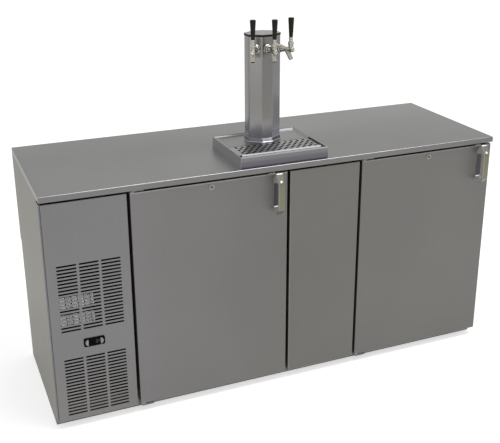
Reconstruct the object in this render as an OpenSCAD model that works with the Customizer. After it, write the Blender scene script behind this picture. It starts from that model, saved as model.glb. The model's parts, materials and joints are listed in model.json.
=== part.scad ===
// Draft beer cooler: a two-door back-bar keg cabinet with a three-tap tower.
// Origin on the floor under the middle of the countertop, +X to the right, +Y to the back, +Z up.

/* [Cabinet] */
// Width over the side panels and the countertop
cab_w = 1829; // [1600:1:2200]
// Depth of the countertop from its front lip to its back edge
counter_d = 613; // [560:1:720]
// Height of the countertop above the floor
counter_h = 914; // [860:1:960]
// Drop of the turned-down lip
counter_lip = 22; // [16:1:30]
// Thickness of the stainless sheet
sheet = 1.5; // [1:0.1:2]
// Radius of the rolled edge round the countertop
counter_edge_r = 4; // [2:0.5:6]
// Radius of the folded edges of doors and front panels
front_edge_r = 3; // [1.5:0.5:5]
// Depth of the step in the rear of the cabinet
rear_step = 19; // [10:1:40]
// Height of the step in the rear of the cabinet
rear_step_z = 528; // [400:1:700]
// Width of the turned-in flange at the front of the left side panel
side_flange_w = 18; // [10:1:24]
// Distance of the left side panel's front hem behind the front panels
side_hem_back = 8; // [4:1:20]
// Thickness of the insulated walls
wall_t = 40; // [30:1:46]
// Thickness of the liner panels
liner_t = 1.2; // [0.8:0.1:2]
// Seam between sheets that lie beside each other
seam = 0.3; // [0.2:0.1:0.5]

/* [Front] */
// Distance of the door fronts behind the counter lip
front_setback = 8; // [4:1:16]
// Width of the louvred compressor panel
bay_panel_w = 295; // [260:1:340]
// Width of the fixed panel between the doors
mullion_w = 295; // [220:1:340]
// Gap between neighbouring front panels
front_gap = 10.7; // [8:0.1:14]
// Strip of side panel that shows left of the compressor panel
left_margin = 5.6; // [3:0.1:10]
// Distance of the right door from the right side of the cabinet
right_margin = 1.3; // [1:0.1:6]
// Gap between the counter lip and the doors
door_top_gap = 9; // [8:0.5:14]
// Height of the doors' lower edge above the floor
door_floor_gap = 33; // [30:1:60]
// Thickness of a door without its gasket
door_t = 36; // [32:1:50]
// Thickness of the gasket between door and frame
gasket_t = 5; // [4:0.5:8]
// Width of the gasket
gasket_w = 16; // [10:1:20]
// Distance of the gasket from the edge of the door
seal_inset = 22; // [20:1:30]
// Depth of the front frame's channels
frame_t = 20; // [12:1:30]
// Lap of the frame past the gasket's inner edge
frame_lap = 2; // [1:1:5]

/* [Hinges and locks] */
// Radius of the hinge pins
hinge_pin_r = 5; // [4:0.5:6]
// Running clearance of a pin in its bushing
pin_fit = 0.05; // [0.02:0.01:0.1]
// Wall of the hinge bushings
bushing_wall = 4; // [2:0.5:5]
// Height of the hinge bushings
bushing_h = 16; // [12:1:24]
// Distance of the hinge axis from the edge and from the front of the door
hinge_inset = 12; // [11:0.5:14]
// Width of a hinge bracket
bracket_w = 46; // [30:1:60]
// Thickness of a hinge bracket
bracket_t = 4; // [3:0.5:6]
// Gap between door and hinge bracket
bracket_gap = 2; // [1.5:0.5:3]
// Height of a hinge bracket's leaf
bracket_leaf_h = 24; // [15:1:26]
// Distance of the lock's axis below the top of the door
lock_drop = 20; // [18:1:26]
// Radius of the lock's front flange
lock_flange_r = 11; // [9:0.5:14]
// Radius of the lock's barrel
lock_barrel_r = 9; // [7:0.5:9]
// Radius of the turning lock plug
lock_plug_r = 6; // [4:0.5:6]
// Length of the lock cam from the plug's axis
lock_cam_l = 34; // [30:1:38]
// Thickness of the lock cam
lock_cam_t = 2.5; // [2:0.1:3]

/* [Power inlet] */
// Width of the inlet's body
inlet_w = 39; // [34:1:46]
// Height of the inlet's body
inlet_h = 29; // [26:1:36]
// Depth of the inlet's body behind the rear panel
inlet_d = 30; // [24:1:40]
// Height of the inlet's middle over the floor
inlet_z = 145; // [110:1:200]
// Width of the inlet's flange round its body
inlet_rim = 6.5; // [4:0.5:10]
// Thickness of the inlet's flange
inlet_rim_t = 2.5; // [1.5:0.5:4]
// Wall of the inlet round its socket
inlet_wall = 6; // [4:0.5:8]
// Depth of the inlet's socket
socket_d = 20; // [14:1:22]

/* [Door handles] */
// Width of a handle
handle_w = 23; // [16:1:30]
// Distance of the left door's handle from that door's free edge
handle_edge_1 = 35; // [25:0.5:60]
// Distance of the right door's handle from that door's free edge
handle_edge_2 = 43.5; // [25:0.5:60]
// Distance of a handle's bar in front of the door
handle_out = 51; // [40:1:60]
// Overall height of a handle
handle_h = 162; // [140:1:200]
// Height of a handle's top over its door's top
handle_rise = 6; // [2:0.5:8]
// Distance of a handle's top edge in front of the door
handle_peak = 30; // [20:1:36]
// Height of a handle's slanted shoulder
handle_slant = 34; // [26:1:40]
// Height of a handle's slanted lower end
handle_foot = 23; // [16:1:30]
// Distance of a handle's lowest edge in front of the door
handle_toe = 24; // [16:1:36]
// Thickness of a handle's bar
handle_t = 9; // [6:0.5:12]
// Thickness of the plate behind a handle's bar
handle_plate_t = 2; // [1:0.5:4]
// Width of the latch cap on top of each door's free corner
latch_cap_w = 75; // [60:1:100]
// Height of the latch cap
latch_cap_t = 4.5; // [2:0.5:6]
// Depth of the latch cap
latch_cap_d = 18; // [10:1:30]

/* [Compressor panel] */
// Length of a louvre slot
slot_l = 70; // [50:1:76]
// Height of a louvre slot
slot_h = 6.4; // [4:0.1:8]
// Distance from one row of slots to the next
slot_pitch = 13.2; // [11:0.1:15]
// Distance from one column of slots to the next
slot_col_pitch = 78; // [76:1:86]
// Columns of slots
slot_cols = 3; // [2:1:3]
// Rows of slots in the upper grille
upper_rows = 20; // [10:1:22]
// Rows of slots in the lower grille
lower_rows = 18; // [8:1:19]
// Distance of the upper grille's first row below the countertop
upper_drop = 265; // [240:1:300]
// Distance of the lower grille's first row below the countertop
lower_drop = 632.5; // [620:0.5:650]
// Distance of the controller's middle below the countertop
controller_drop = 574.5; // [560:0.5:590]
// Width of the controller's bezel
controller_w = 76; // [70:1:90]
// Height of the controller's bezel
controller_h = 32; // [28:1:40]
// Depth of the controller's body behind the panel
controller_depth = 30; // [20:1:60]
// Travel of a controller button
button_travel = 0.8; // [0.5:0.1:1.5]

/* [Machine bay] */
// Height of the shelf that carries the condensing unit
shelf_z = 300; // [200:5:320]
// Thickness of the shelf
shelf_t = 2; // [1.5:0.5:4]
// Width of the condenser coil
condenser_w = 150; // [120:1:220]
// Height of the condenser coil
condenser_h = 203; // [140:1:240]
// Thickness of the fin coils
coil_t = 44; // [30:1:70]
// Distance of the condenser behind the front panel's back
condenser_back = 80; // [60:1:120]
// Radius of the fans
fan_r = 66; // [50:1:70]
// Radius of the fan motors
motor_r = 30; // [20:1:35]
// Length of the fan motors
motor_l = 50; // [40:1:60]
// Radius of the fan motors' shafts
fan_shaft_r = 4; // [3:0.5:5]
// Radius of the compressor can
compressor_r = 85; // [70:1:100]
// Height of the compressor can
compressor_h = 190; // [160:1:220]
// Width of the evaporator housing
evap_w = 250; // [200:1:270]
// Height of the evaporator housing
evap_h = 350; // [320:1:400]
// Depth of the evaporator housing
evap_d = 138; // [120:1:160]

/* [Drip tray] */
// Width of the drip tray
tray_w = 352; // [300:1:420]
// Depth of the drip tray
tray_d = 301; // [270:1:320]
// Height of the drip tray
tray_h = 42; // [36:1:50]
// Thickness of the tray's hemmed walls
tray_wall = 4; // [2:0.5:6]
// Radius of the tray's upright corners
tray_corner_r = 2.5; // [1.5:0.5:12]
// Radius of the drain's neck
drain_r = 12; // [10:0.5:14]
// Radius of the drain's spigot, which a hose goes on
spigot_r = 10.5; // [8:0.5:10.5]
// Length of the drain's spigot
spigot_l = 24; // [18:1:30]
// Distance of the tray behind the counter lip
tray_setback = 12; // [6:1:30]
// Depth of the tray's deck below its rim
deck_drop = 6; // [4:0.5:10]
// Depth of the lift-out grid
grid_d = 120; // [90:1:122]
// Thickness of the grid
grid_t = 2; // [1.5:0.5:3]
// Gap between the grid and the tray's front wall
grid_front_gap = 30; // [12:1:32]
// Gap between the grid and the tray's side walls
grid_side_gap = 5.5; // [1:0.5:8]
// Length of a grid slot
grid_slot_l = 18.5; // [10:0.5:20]
// Width of a grid slot
grid_slot_w = 9.5; // [6:0.5:10]
// Distance from one grid slot to the next in a row
grid_pitch_x = 25.5; // [22:0.5:30]
// Distance from one row of grid slots to the next
grid_pitch_y = 16.5; // [15:0.5:17]
// Rows of grid slots
grid_rows = 6; // [4:1:6]
// Distance of the slots' field behind the grid's middle
grid_field_shift = 5; // [0:0.5:6]

/* [Tap tower] */
// Sideways distance of the tower and tray from the middle of the cabinet
tower_x = -11.5; // [-300:0.5:300]
// Distance of the tower's axis behind the counter lip
tower_back = 229.5; // [229:0.5:245]
// Width of the column
tower_w = 129; // [120:1:150]
// Depth of the column
tower_d = 99; // [90:1:110]
// Width of the column's front facet
facet_front = 40; // [36:1:46]
// Length of the column's side facets
facet_side = 44; // [34:1:48]
// Height of the column's top above the countertop
tower_top = 447; // [400:1:520]
// Wall of the column
tower_wall = 2; // [1.5:0.5:3]
// Width of the flange round the column's foot
flange_w = 4.5; // [3:0.5:9]
// Height of the flange round the column's foot
flange_h = 6; // [4:0.5:10]
// Overhang of the cap gasket
cap_lap = 2.5; // [1:0.5:5]
// Thickness of the cap gasket
cap_gasket_t = 5; // [3:0.5:6]
// Thickness of the cap
cap_t = 2; // [1:0.5:4]
// Radius of the hole under the tower
tower_hole_r = 30; // [26:1:30]

/* [Taps] */
// Height of the shanks above the countertop
shank_rise = 394; // [360:1:400]
// Radius of a shank
shank_r = 11; // [9:0.5:11]
// Reach of a shank inside the column
shank_in = 28; // [22:1:28]
// Reach of a shank in front of the column
shank_out = 20; // [16:1:24]
// Radius of a shank collar
collar_r = 19.5; // [15:0.5:20]
// Thickness of a shank collar
collar_t = 7; // [5:0.5:8]
// Radius of a coupling nut
coupling_r = 16; // [14:0.5:17]
// Distance of a lever's axis from the column
lever_reach = 64; // [62:0.5:72]
// Radius of a tap's barrel
barrel_r = 9.5; // [9:0.5:11]
// Height of a lever's pivot above the shank
pivot_h = 13; // [13:0.5:14]
// Radius of a valve shaft
valve_r = 4; // [3.5:0.5:4]
// Running clearance of a valve shaft in its tap
valve_fit = 0.05; // [0.02:0.01:0.1]
// Lean of a spout from upright
spout_lean = 31; // [20:1:35]
// Length of a spout
spout_l = 40; // [34:1:46]
// Bottom of a knob above the shank
knob_z = 48; // [44:1:52]
// Height of a knob
knob_h = 73; // [60:1:90]
// Radius of a knob at its bottom
knob_r0 = 8; // [7:0.5:9]
// Radius of a knob at its top
knob_r1 = 11; // [9:0.5:14]
// Radius of a beer line
beer_line_r = 5; // [4:0.5:6]

/* [Hidden] */
$fn = 48;
over = 1;

x_left = -cab_w / 2;
x_right = cab_w / 2;
y_lip = -counter_d / 2;
y_back = counter_d / 2;
y_rear = y_back - rear_step;
z_lip = counter_h - counter_lip;

y_front = y_lip + front_setback;
y_door_back = y_front + door_t;
y_frame = y_door_back + gasket_t;
y_inside = y_frame + frame_t + seam;
z_door_top = z_lip - door_top_gap;
z_door_bot = door_floor_gap;
door_w = (cab_w - left_margin - right_margin - bay_panel_w - mullion_w - 3 * front_gap) / 2;

bay_x0 = x_left + left_margin;
bay_x1 = bay_x0 + bay_panel_w;
side_hem_y = y_front + side_hem_back;
mullion_x0 = bay_x1 + front_gap + door_w + front_gap;
mullion_x1 = mullion_x0 + mullion_w;
door_x0 = [bay_x1 + front_gap, mullion_x1 + front_gap];

frame_reach = seal_inset + gasket_w + frame_lap;
sill_z = z_door_bot + frame_reach;
header_z = z_door_top - frame_reach;
bulk_x0 = bay_x1 - side_flange_w;
bulk_x1 = bulk_x0 + wall_t;
cold_x1 = x_right - wall_t;
cold_y1 = y_rear - sheet - wall_t;
floor_z = sill_z - liner_t;
roof_z = header_z + frame_lap;
under_counter = counter_h - sheet;

hinge_x = [door_x0[0] + hinge_inset, door_x0[1] + hinge_inset];
hinge_y = y_front + hinge_inset;
bushing_r = hinge_pin_r + pin_fit + bushing_wall;
bushing_flange_t = bracket_gap - 0.2;
pin_grip = bushing_h - 2;
handle_edge = [handle_edge_1, handle_edge_2];
handle_top = z_door_top + handle_rise;
handle_screw_r = 4.5;
handle_screw_t = 1.5;
handle_screw_up = 9;
lock_z = z_door_top - lock_drop;
lock_barrel_l = 26;
lock_proud = 2;
key_w = 1.8;
key_h = 8;

lower_room = floor((counter_h - lower_drop - z_door_bot - slot_h) / slot_pitch) + 1;
slot_x0 = bay_x0 + (bay_panel_w - (slot_cols - 1) * slot_col_pitch) / 2;
controller_x = bay_x0 + bay_panel_w / 2;
controller_z = counter_h - controller_drop;
bezel_t = 4;
bezel_r = 6;
bezel_x = controller_w / 2 - bezel_r;
bezel_z = controller_h / 2 - bezel_r;
controller_fit = 2.5;
button_w = 10.5;
button_h = 24.5;
button_x = controller_w / 2 - 5.4 - button_w / 2;
button_fit = 0.3;
button_proud = 1.2;

shelf_top = shelf_z + shelf_t;
bay_in0 = x_left + sheet;
bay_mid = (bay_in0 + bulk_x0) / 2;
condenser_x0 = bay_x0 + 32;
condenser_y0 = y_frame + condenser_back;
shroud_y0 = condenser_y0 + coil_t + 12;
shroud_t = 2;
shroud_lip = 14;
fan_hub_r = 16;
fan_hub_l = 20;
fan_fit = 0.05;
fan_blade_t = 1.6;
fan_blades = 5;
fan_pitch = 32;
condenser_fan_y = shroud_y0 + shroud_t + 14;
fan_z = shelf_top + fan_r + 18;
compressor_y = condenser_fan_y + fan_hub_l + motor_l + compressor_r + 50;
compressor_foot = 14;

evap_x = (mullion_x0 + mullion_x1) / 2;
evap_z1 = roof_z - 12;
evap_z0 = evap_z1 - evap_h;
evap_y0 = cold_y1 - evap_d;
evap_fan_z = evap_z1 - fan_r - 22;
evap_fan_y = evap_y0 + 8;
evap_coil_z0 = evap_z0 + 30;
evap_coil_h = 120;
evap_coil_d = 80;

suction_r = 6;
liquid_r = 3.5;
line_gap = 26;
liquid_z = evap_coil_z0 + evap_coil_h + 20;
suction_z = liquid_z + line_gap;
discharge_z = shelf_top + compressor_foot + compressor_h + 40;
line_y = cold_y1 - 20;
line_x1 = evap_x - evap_w / 2 + 40;
compressor_top = shelf_top + compressor_foot + compressor_h;
condenser_top = shelf_top + condenser_h;
condenser_mid = condenser_y0 + coil_t / 2;

tray_x0 = tower_x - tray_w / 2;
tray_x1 = tower_x + tray_w / 2;
tray_y0 = y_lip + tray_setback;
tray_y1 = tray_y0 + tray_d;
deck_z = counter_h + tray_h - deck_drop;
tray_floor = counter_h + sheet;
grid_x0 = tray_x0 + tray_wall + grid_side_gap;
grid_x1 = tray_x1 - tray_wall - grid_side_gap;
grid_y0 = tray_y0 + tray_wall + grid_front_gap;
grid_y1 = grid_y0 + grid_d;
deck_y0 = grid_y1 + 3;
ledge_y1 = grid_y0 - 3;
grid_hem_h = deck_drop - 1;
drain_x = tower_x - tray_w / 4;
drain_y = (grid_y0 + grid_y1) / 2;

tower_y = y_lip + tower_back;
column_z0 = deck_z;
column_z1 = counter_h + tower_top - cap_gasket_t;
facet_run = (tower_w - facet_front) / 2;
facet_rise = (tower_d - facet_side) / 2;
facet_angle = atan2(facet_rise, facet_run);
tap_angle = [-facet_angle, 0, facet_angle];
tap_x = [-(tower_w + facet_front) / 4, 0, (tower_w + facet_front) / 4];
tap_y = [-(tower_d + facet_side) / 4, -tower_d / 2, -(tower_d + facet_side) / 4];
shank_z = counter_h + shank_rise;
shank_fit = 0.1;
line_bend = 12;
nut_t = 8;
nut_r = 15;

ball_r = 6;
socket_r = 6.4;
dome_r = 8.5;
skirt_gap = 0.4;
skirt_r = dome_r + skirt_gap + 1.3;
skirt_low = 6;
stem_r = 4;
ferrule_r = 6.8;
bonnet_top = knob_z - 15;
finger_r = 1.1;
tip_r = 2.2;
tip_fit = 0.7;
valve_u0 = 30;
valve_u1 = lever_reach + 9;
valve_travel = 9;
spout_u = 46;
spout_r0 = 9.3;
spout_r1 = 8.3;
spout_bore = 4.6;

steel = [0.55, 0.55, 0.53];
bright = [0.75, 0.75, 0.76];
dark = [0.09, 0.09, 0.1];
galvanised = [0.62, 0.64, 0.66];
copper = [0.72, 0.42, 0.28];

// Basic shapes

// Block between two opposite corners
module block(p0, p1) {
    translate(p0)
        cube(p1 - p0);
}

// Block whose front face, towards -Y, has a rolled edge of radius r
module soft_front_block(p0, p1, r) {
    hull()
        for (a = [0:30:90]) {
            inset = r * (1 - sin(a));
            setback = r * (1 - cos(a));
            block(p0 + [inset, setback, inset], p1 - [inset, 0, inset]);
        }
}

// Block whose top face has a rolled edge of radius r
module soft_top_block(p0, p1, r) {
    hull()
        for (a = [0:30:90]) {
            inset = r * (1 - sin(a));
            drop = r * (1 - cos(a));
            block(p0 + [inset, inset, 0], p1 - [inset, inset, drop]);
        }
}

// Sheet pan that is closed at the front and open at the back
module front_pan(p0, p1, r) {
    difference() {
        soft_front_block(p0, p1, r);
        block(p0 + [sheet, sheet, sheet], p1 + [-sheet, over, -sheet]);
    }
}

// Channel with its web at the front and its flanges turned back
module channel(p0, p1) {
    difference() {
        block(p0, p1);
        block(p0 + [sheet, sheet, sheet], p1 + [-sheet, over, -sheet]);
    }
}

// Cylinder that lies along Y from y0 to y1
module bar_y(x, z, y0, y1, r) {
    translate([x, y1, z])
        rotate([90, 0, 0])
            cylinder(h = y1 - y0, r = r);
}

// Octagon of the tower, grown outwards by g
function tower_octagon(g) =
    let (
        half_w = tower_w / 2 + g,
        half_d = tower_d / 2 + g,
        front = facet_front / 2 + g * tan(facet_angle / 2),
        side = facet_side / 2 + g * tan((90 - facet_angle) / 2)
    )
    [[front, -half_d], [half_w, -side], [half_w, side], [front, half_d],
     [-front, half_d], [-half_w, side], [-half_w, -side], [-front, -half_d]];

// Upright prism with the tower's plan, grown outwards by g
module tower_prism(z0, z1, g) {
    translate([tower_x, tower_y, z0])
        linear_extrude(z1 - z0)
            polygon(tower_octagon(g));
}

// Place on the tower's facet i: out of the facet is -Y, up is +Z, the origin is on the shank's axis
module at_tap(i) {
    translate([tower_x + tap_x[i], tower_y + tap_y[i], shank_z])
        rotate([0, 0, tap_angle[i]])
            children();
}

// Cylinder or cone that points out of a facet from u0 to u1
module outward(u0, u1, r0, r1) {
    translate([0, -u0, 0])
        rotate([90, 0, 0])
            cylinder(h = u1 - u0, r1 = r0, r2 = r1);
}

// Cabinet

module countertop() {
    color(steel)
        difference() {
            soft_top_block([x_left, y_lip, z_lip], [x_right, y_back, counter_h], counter_edge_r);
            block([x_left + sheet, y_lip + sheet, z_lip - over],
                  [x_right - sheet, y_back - sheet, under_counter]);
            translate([tower_x, tower_y, z_lip])
                cylinder(h = counter_lip + over, r = tower_hole_r);
            translate([drain_x, drain_y, z_lip])
                cylinder(h = counter_lip + over, r = drain_r + seam);
        }
}

// Side sheet with the step in its rear edge, seen along X
module side_sheet(x) {
    translate([x, 0, 0])
        rotate([90, 0, 90])
            linear_extrude(sheet)
                polygon([[y_frame, 0], [y_rear, 0], [y_rear, rear_step_z], [y_back, rear_step_z],
                         [y_back, z_lip], [y_frame, z_lip]]);
}

module left_side_panel() {
    color(steel) {
        side_sheet(x_left);
        block([x_left, y_frame, sill_z + seam],
              [x_left + side_flange_w, y_frame + sheet, header_z - seam]);
        block([x_left, side_hem_y, z_door_bot], [x_left + sheet, y_frame + sheet, z_door_top]);
        block([x_left, side_hem_y, z_door_bot], [bay_x0 - 2 * seam, side_hem_y + sheet, z_door_top]);
    }
}

module right_side_panel() {
    color(steel)
        side_sheet(x_right - sheet);
}

module rear_panel() {
    color(galvanised) {
        difference() {
            block([x_left + sheet, y_rear - sheet, sheet], [x_right - sheet, y_rear, under_counter]);
            power_cutout(0);
        }
        difference() {
            block([x_left + sheet, y_rear + seam, rear_step_z], [x_right - sheet, y_back, z_lip]);
            block([x_left + 2 * sheet, y_rear, rear_step_z + sheet],
                  [x_right - 2 * sheet, y_back - sheet, z_lip - sheet]);
        }
    }
}

module base_pan() {
    color(steel) {
        block([x_left + sheet, y_frame, 0], [x_right - sheet, y_frame + sheet, sill_z]);
        block([x_left + sheet, y_frame, 0], [x_right - sheet, y_rear, sheet]);
    }
}

module insulation() {
    color([0.85, 0.8, 0.62]) {
        difference() {
            block([bulk_x0 + liner_t, y_inside, roof_z + liner_t],
                  [x_right - sheet, y_rear - sheet, under_counter]);
            translate([tower_x, tower_y, 0])
                cylinder(h = counter_h, r = tower_hole_r);
            translate([drain_x, drain_y, 0])
                cylinder(h = counter_h, r = drain_r + seam);
        }
        block([bulk_x0 + liner_t, y_inside, sheet], [x_right - sheet, y_rear - sheet, floor_z]);
        block([bulk_x1, cold_y1 + liner_t, floor_z + seam], [cold_x1, y_rear - sheet, roof_z]);
        block([cold_x1 + liner_t, y_inside, floor_z + seam], [x_right - sheet, y_rear - sheet, roof_z]);
        difference() {
            block([bulk_x0 + liner_t, y_inside, floor_z + seam],
                  [bulk_x1 - liner_t, y_rear - sheet, roof_z]);
            line_holes(seam);
        }
    }
}

// Galvanised sheets that line the cold room and both sides of the bulkhead
module liner_panels() {
    color(galvanised) {
        block([bulk_x1 + seam, y_inside, floor_z], [cold_x1 - seam, cold_y1 - seam, floor_z + liner_t]);
        difference() {
            block([bulk_x1 + seam, y_inside, roof_z - seam],
                  [cold_x1 - seam, cold_y1 - seam, roof_z + liner_t - seam]);
            translate([tower_x, tower_y, 0])
                cylinder(h = counter_h, r = tower_hole_r);
            translate([drain_x, drain_y, 0])
                cylinder(h = counter_h, r = drain_r + seam);
        }
        block([bulk_x1 + seam, cold_y1, floor_z + seam],
              [cold_x1 - seam, cold_y1 + liner_t, roof_z - seam]);
        block([cold_x1, y_inside, floor_z + seam], [cold_x1 + liner_t, cold_y1, roof_z - seam]);
        difference() {
            block([bulk_x1 - liner_t, y_inside, floor_z + seam], [bulk_x1, cold_y1, roof_z - seam]);
            line_holes(seam);
        }
        difference() {
            block([bulk_x0, y_inside, sheet], [bulk_x0 + liner_t, y_rear - sheet, under_counter]);
            line_holes(seam);
        }
    }
}

// Black channels that the door gaskets press on
module front_frame() {
    y1 = y_frame + frame_t;
    color(dark) {
        channel([x_left + sheet, y_frame, header_z], [x_right - sheet, y1, under_counter]);
        channel([bulk_x0, y_frame, sill_z], [door_x0[0] + frame_reach, y1, header_z - seam]);
        channel([door_x0[0] + door_w - frame_reach, y_frame, sill_z],
                [door_x0[1] + frame_reach, y1, header_z - seam]);
        channel([door_x0[1] + door_w - frame_reach, y_frame, sill_z],
                [x_right - sheet, y1, header_z - seam]);
        for (x = door_x0)
            lock_strike(x + door_w / 2);
    }
}

// Angle behind the counter lip that a raised lock cam catches on
module lock_strike(x) {
    y0 = y_front + lock_barrel_l - 3;
    z0 = z_door_top + 3;
    block([x - 20, y0, z0 + 16], [x + 20, y_frame - seam, z0 + 18]);
    block([x - 20, y0, z0], [x + 20, y0 + 2, z0 + 18]);
}

module mullion_panel() {
    color(steel)
        front_pan([mullion_x0, y_front, z_door_bot], [mullion_x1, y_frame, z_door_top], front_edge_r);
}

// One louvre slot with round ends, cut through the front of the compressor panel
module louvre_slot(x, z) {
    straight = slot_l - slot_h;
    block([x - straight / 2, y_front - over, z - slot_h / 2],
          [x + straight / 2, y_front + sheet + over, z + slot_h / 2]);
    for (side = [-1, 1])
        bar_y(x + side * straight / 2, z, y_front - over, y_front + sheet + over, slot_h / 2);
}

module grille_panel() {
    color(steel)
        difference() {
            front_pan([bay_x0, y_front, z_door_bot], [bay_x1, y_frame, z_door_top], front_edge_r);
            for (col = [0:slot_cols - 1]) {
                for (row = [0:upper_rows - 1])
                    louvre_slot(slot_x0 + col * slot_col_pitch, counter_h - upper_drop - row * slot_pitch);
                for (row = [0:min(lower_rows, lower_room) - 1])
                    louvre_slot(slot_x0 + col * slot_col_pitch, counter_h - lower_drop - row * slot_pitch);
            }
            controller_core(y_front - over, y_front + sheet + over);
        }
}

// Controller

// Part of the controller that goes through the panel, between two depths
module controller_core(y0, y1) {
    half_w = controller_w / 2 - controller_fit;
    half_h = controller_h / 2 - controller_fit;
    block([controller_x - half_w, y0, controller_z - half_h],
          [controller_x + half_w, y1, controller_z + half_h]);
}

// Button outline: a half-moon with its round side outwards, side is -1 or 1
module button_outline(side, grow) {
    intersection() {
        translate([side * (button_w / 2 - button_h / 2), 0])
            circle(r = button_h / 2 + grow);
        square([button_w + 2 * grow, button_h + 2 * grow], center = true);
    }
}

// Button or its pocket between two depths in front of the panel
module button_prism(side, grow, y0, y1) {
    translate([controller_x + side * button_x, y1, controller_z])
        rotate([90, 0, 0])
            linear_extrude(y1 - y0)
                button_outline(side, grow);
}

module controller_housing() {
    y0 = y_front - bezel_t;
    color(dark)
        difference() {
            union() {
                translate([controller_x, y_front, controller_z])
                    rotate([90, 0, 0])
                        linear_extrude(bezel_t) {
                            square([controller_w, controller_h - 2 * bezel_r], center = true);
                            square([controller_w - 2 * bezel_r, controller_h], center = true);
                            for (sx = [-1, 1], sz = [-1, 1])
                                translate([sx * bezel_x, sz * bezel_z])
                                    circle(r = bezel_r);
                        }
                controller_core(y_front, y_front + controller_depth);
            }
            for (side = [-1, 1])
                button_prism(side, button_fit, y0 - over, y_front + 2 * button_travel);
        }
}

module controller_button(side) {
    color([0.75, 0.75, 0.72])
        button_prism(side, 0, y_front - bezel_t - button_proud, y_front + button_travel - seam);
}

module controller_button_left() {
    controller_button(-1);
}

module controller_button_right() {
    controller_button(1);
}

// Refrigeration

module unit_shelf() {
    y1 = y_rear - sheet;
    color(galvanised)
        difference() {
            block([bay_in0, y_frame + frame_t + seam, shelf_z - shroud_lip], [bulk_x0, y1, shelf_top]);
            block([bay_in0 + shelf_t, y_frame, shelf_z - shroud_lip - over],
                  [bulk_x0 - shelf_t, y1 + over, shelf_z]);
        }
}

module compressor() {
    z0 = shelf_top + compressor_foot;
    color(dark)
        translate([bay_mid, compressor_y, 0]) {
            translate([0, 0, z0])
                rotate_extrude()
                    polygon([[0, 0], [compressor_r * 0.8, 0], [compressor_r, 18],
                             [compressor_r, compressor_h - 50], [compressor_r * 0.86, compressor_h - 18],
                             [compressor_r * 0.5, compressor_h], [0, compressor_h]]);
            for (sx = [-1, 1], sy = [-1, 1])
                translate([sx * compressor_r * 0.55, sy * compressor_r * 0.55, shelf_top])
                    cylinder(h = compressor_foot + over, r = 12);
        }
}

// Fin blocks of the condenser in the machine bay and of the evaporator in the cold room
module fin_coils() {
    color([0.8, 0.8, 0.8]) {
        block([condenser_x0, condenser_y0, shelf_top],
              [condenser_x0 + condenser_w, condenser_y0 + coil_t, shelf_top + condenser_h]);
        block([evap_x - evap_w / 2 + 20, cold_y1 - evap_coil_d, evap_coil_z0],
              [evap_x + evap_w / 2 - 20, cold_y1, evap_coil_z0 + evap_coil_h]);
    }
}

module fan_shroud() {
    color(galvanised)
        difference() {
            block([bay_in0 + 20, shroud_y0, shelf_top],
                  [bulk_x0 - 20, shroud_y0 + shroud_t, fan_z + fan_r + 24]);
            bar_y(bay_mid, fan_z, shroud_y0 - over, shroud_y0 + shroud_t + over, fan_r + 5);
        }
}

// Motor with its shaft towards the front
module fan_motor(x, z, shaft_y, y0) {
    bar_y(x, z, y0, y0 + motor_l, motor_r);
    bar_y(x, z, shaft_y, y0 + over, fan_shaft_r);
}

module fan_motors() {
    bay_motor_y = condenser_fan_y + fan_hub_l + 6;
    cold_motor_y = evap_fan_y + fan_hub_l + 6;
    color(dark) {
        fan_motor(bay_mid, fan_z, condenser_fan_y + 2, bay_motor_y);
        block([bay_mid - motor_r / 2, bay_motor_y + 6, shelf_top],
              [bay_mid + motor_r / 2, bay_motor_y + motor_l - 6, fan_z]);
        fan_motor(evap_x, evap_fan_z, evap_fan_y + 2, cold_motor_y);
        bar_y(evap_x, evap_fan_z, cold_motor_y + motor_l - over, cold_y1, motor_r / 2);
    }
}

// Fan with pitched blades and a bored hub, turning about Y
module fan(x, y0, z) {
    difference() {
        union() {
            bar_y(x, z, y0, y0 + fan_hub_l, fan_hub_r);
            for (k = [0:fan_blades - 1])
                translate([x, y0 + fan_hub_l / 2, z])
                    rotate([0, k * 360 / fan_blades, 0])
                        translate([0, 0, fan_hub_r - 3])
                            rotate([0, 0, fan_pitch])
                                translate([-fan_r * 0.3, -fan_blade_t / 2, 0])
                                    cube([fan_r * 0.6, fan_blade_t, fan_r - fan_hub_r - 2]);
        }
        bar_y(x, z, y0 - over, y0 + fan_hub_l + over, fan_shaft_r + fan_fit);
    }
}

module condenser_fan() {
    color(bright)
        fan(bay_mid, condenser_fan_y, fan_z);
}

module evaporator_fan() {
    color(bright)
        fan(evap_x, evap_fan_y, evap_fan_z);
}

module evaporator_housing() {
    x0 = evap_x - evap_w / 2;
    x1 = evap_x + evap_w / 2;
    color(galvanised)
        difference() {
            block([x0, evap_y0, evap_z0], [x1, cold_y1, evap_z1]);
            block([x0 + sheet, evap_y0 + sheet, evap_z0 + sheet],
                  [x1 - sheet, cold_y1 + over, evap_z1 - sheet]);
            bar_y(evap_x, evap_fan_z, evap_y0 - over, evap_y0 + sheet + over, fan_r + 4);
            for (row = [0:4])
                block([x0 + 30, evap_y0 - over, evap_coil_z0 + row * 22],
                      [x1 - 30, evap_y0 + sheet + over, evap_coil_z0 + row * 22 + 10]);
            line_holes(seam);
        }
}

// Straight pipe between two points
module pipe_leg(a, b, r) {
    d = b - a;
    translate(a)
        rotate([0, acos(d[2] / norm(d)), atan2(d[1], d[0])])
            cylinder(h = norm(d), r = r);
}

// Pipe through a list of points with rounded corners
module pipe(points, r) {
    for (k = [1:len(points) - 1])
        pipe_leg(points[k - 1], points[k], r);
    for (k = [1:len(points) - 2])
        translate(points[k])
            sphere(r = r);
}

// Holes for the refrigerant lines in the bulkhead and the evaporator housing
module line_holes(g) {
    pipe_leg([bay_mid, line_y, suction_z], [line_x1 + 30, line_y, suction_z], suction_r + g);
    pipe_leg([bay_mid, line_y, liquid_z], [line_x1 + 30, line_y, liquid_z], liquid_r + g);
}

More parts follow.
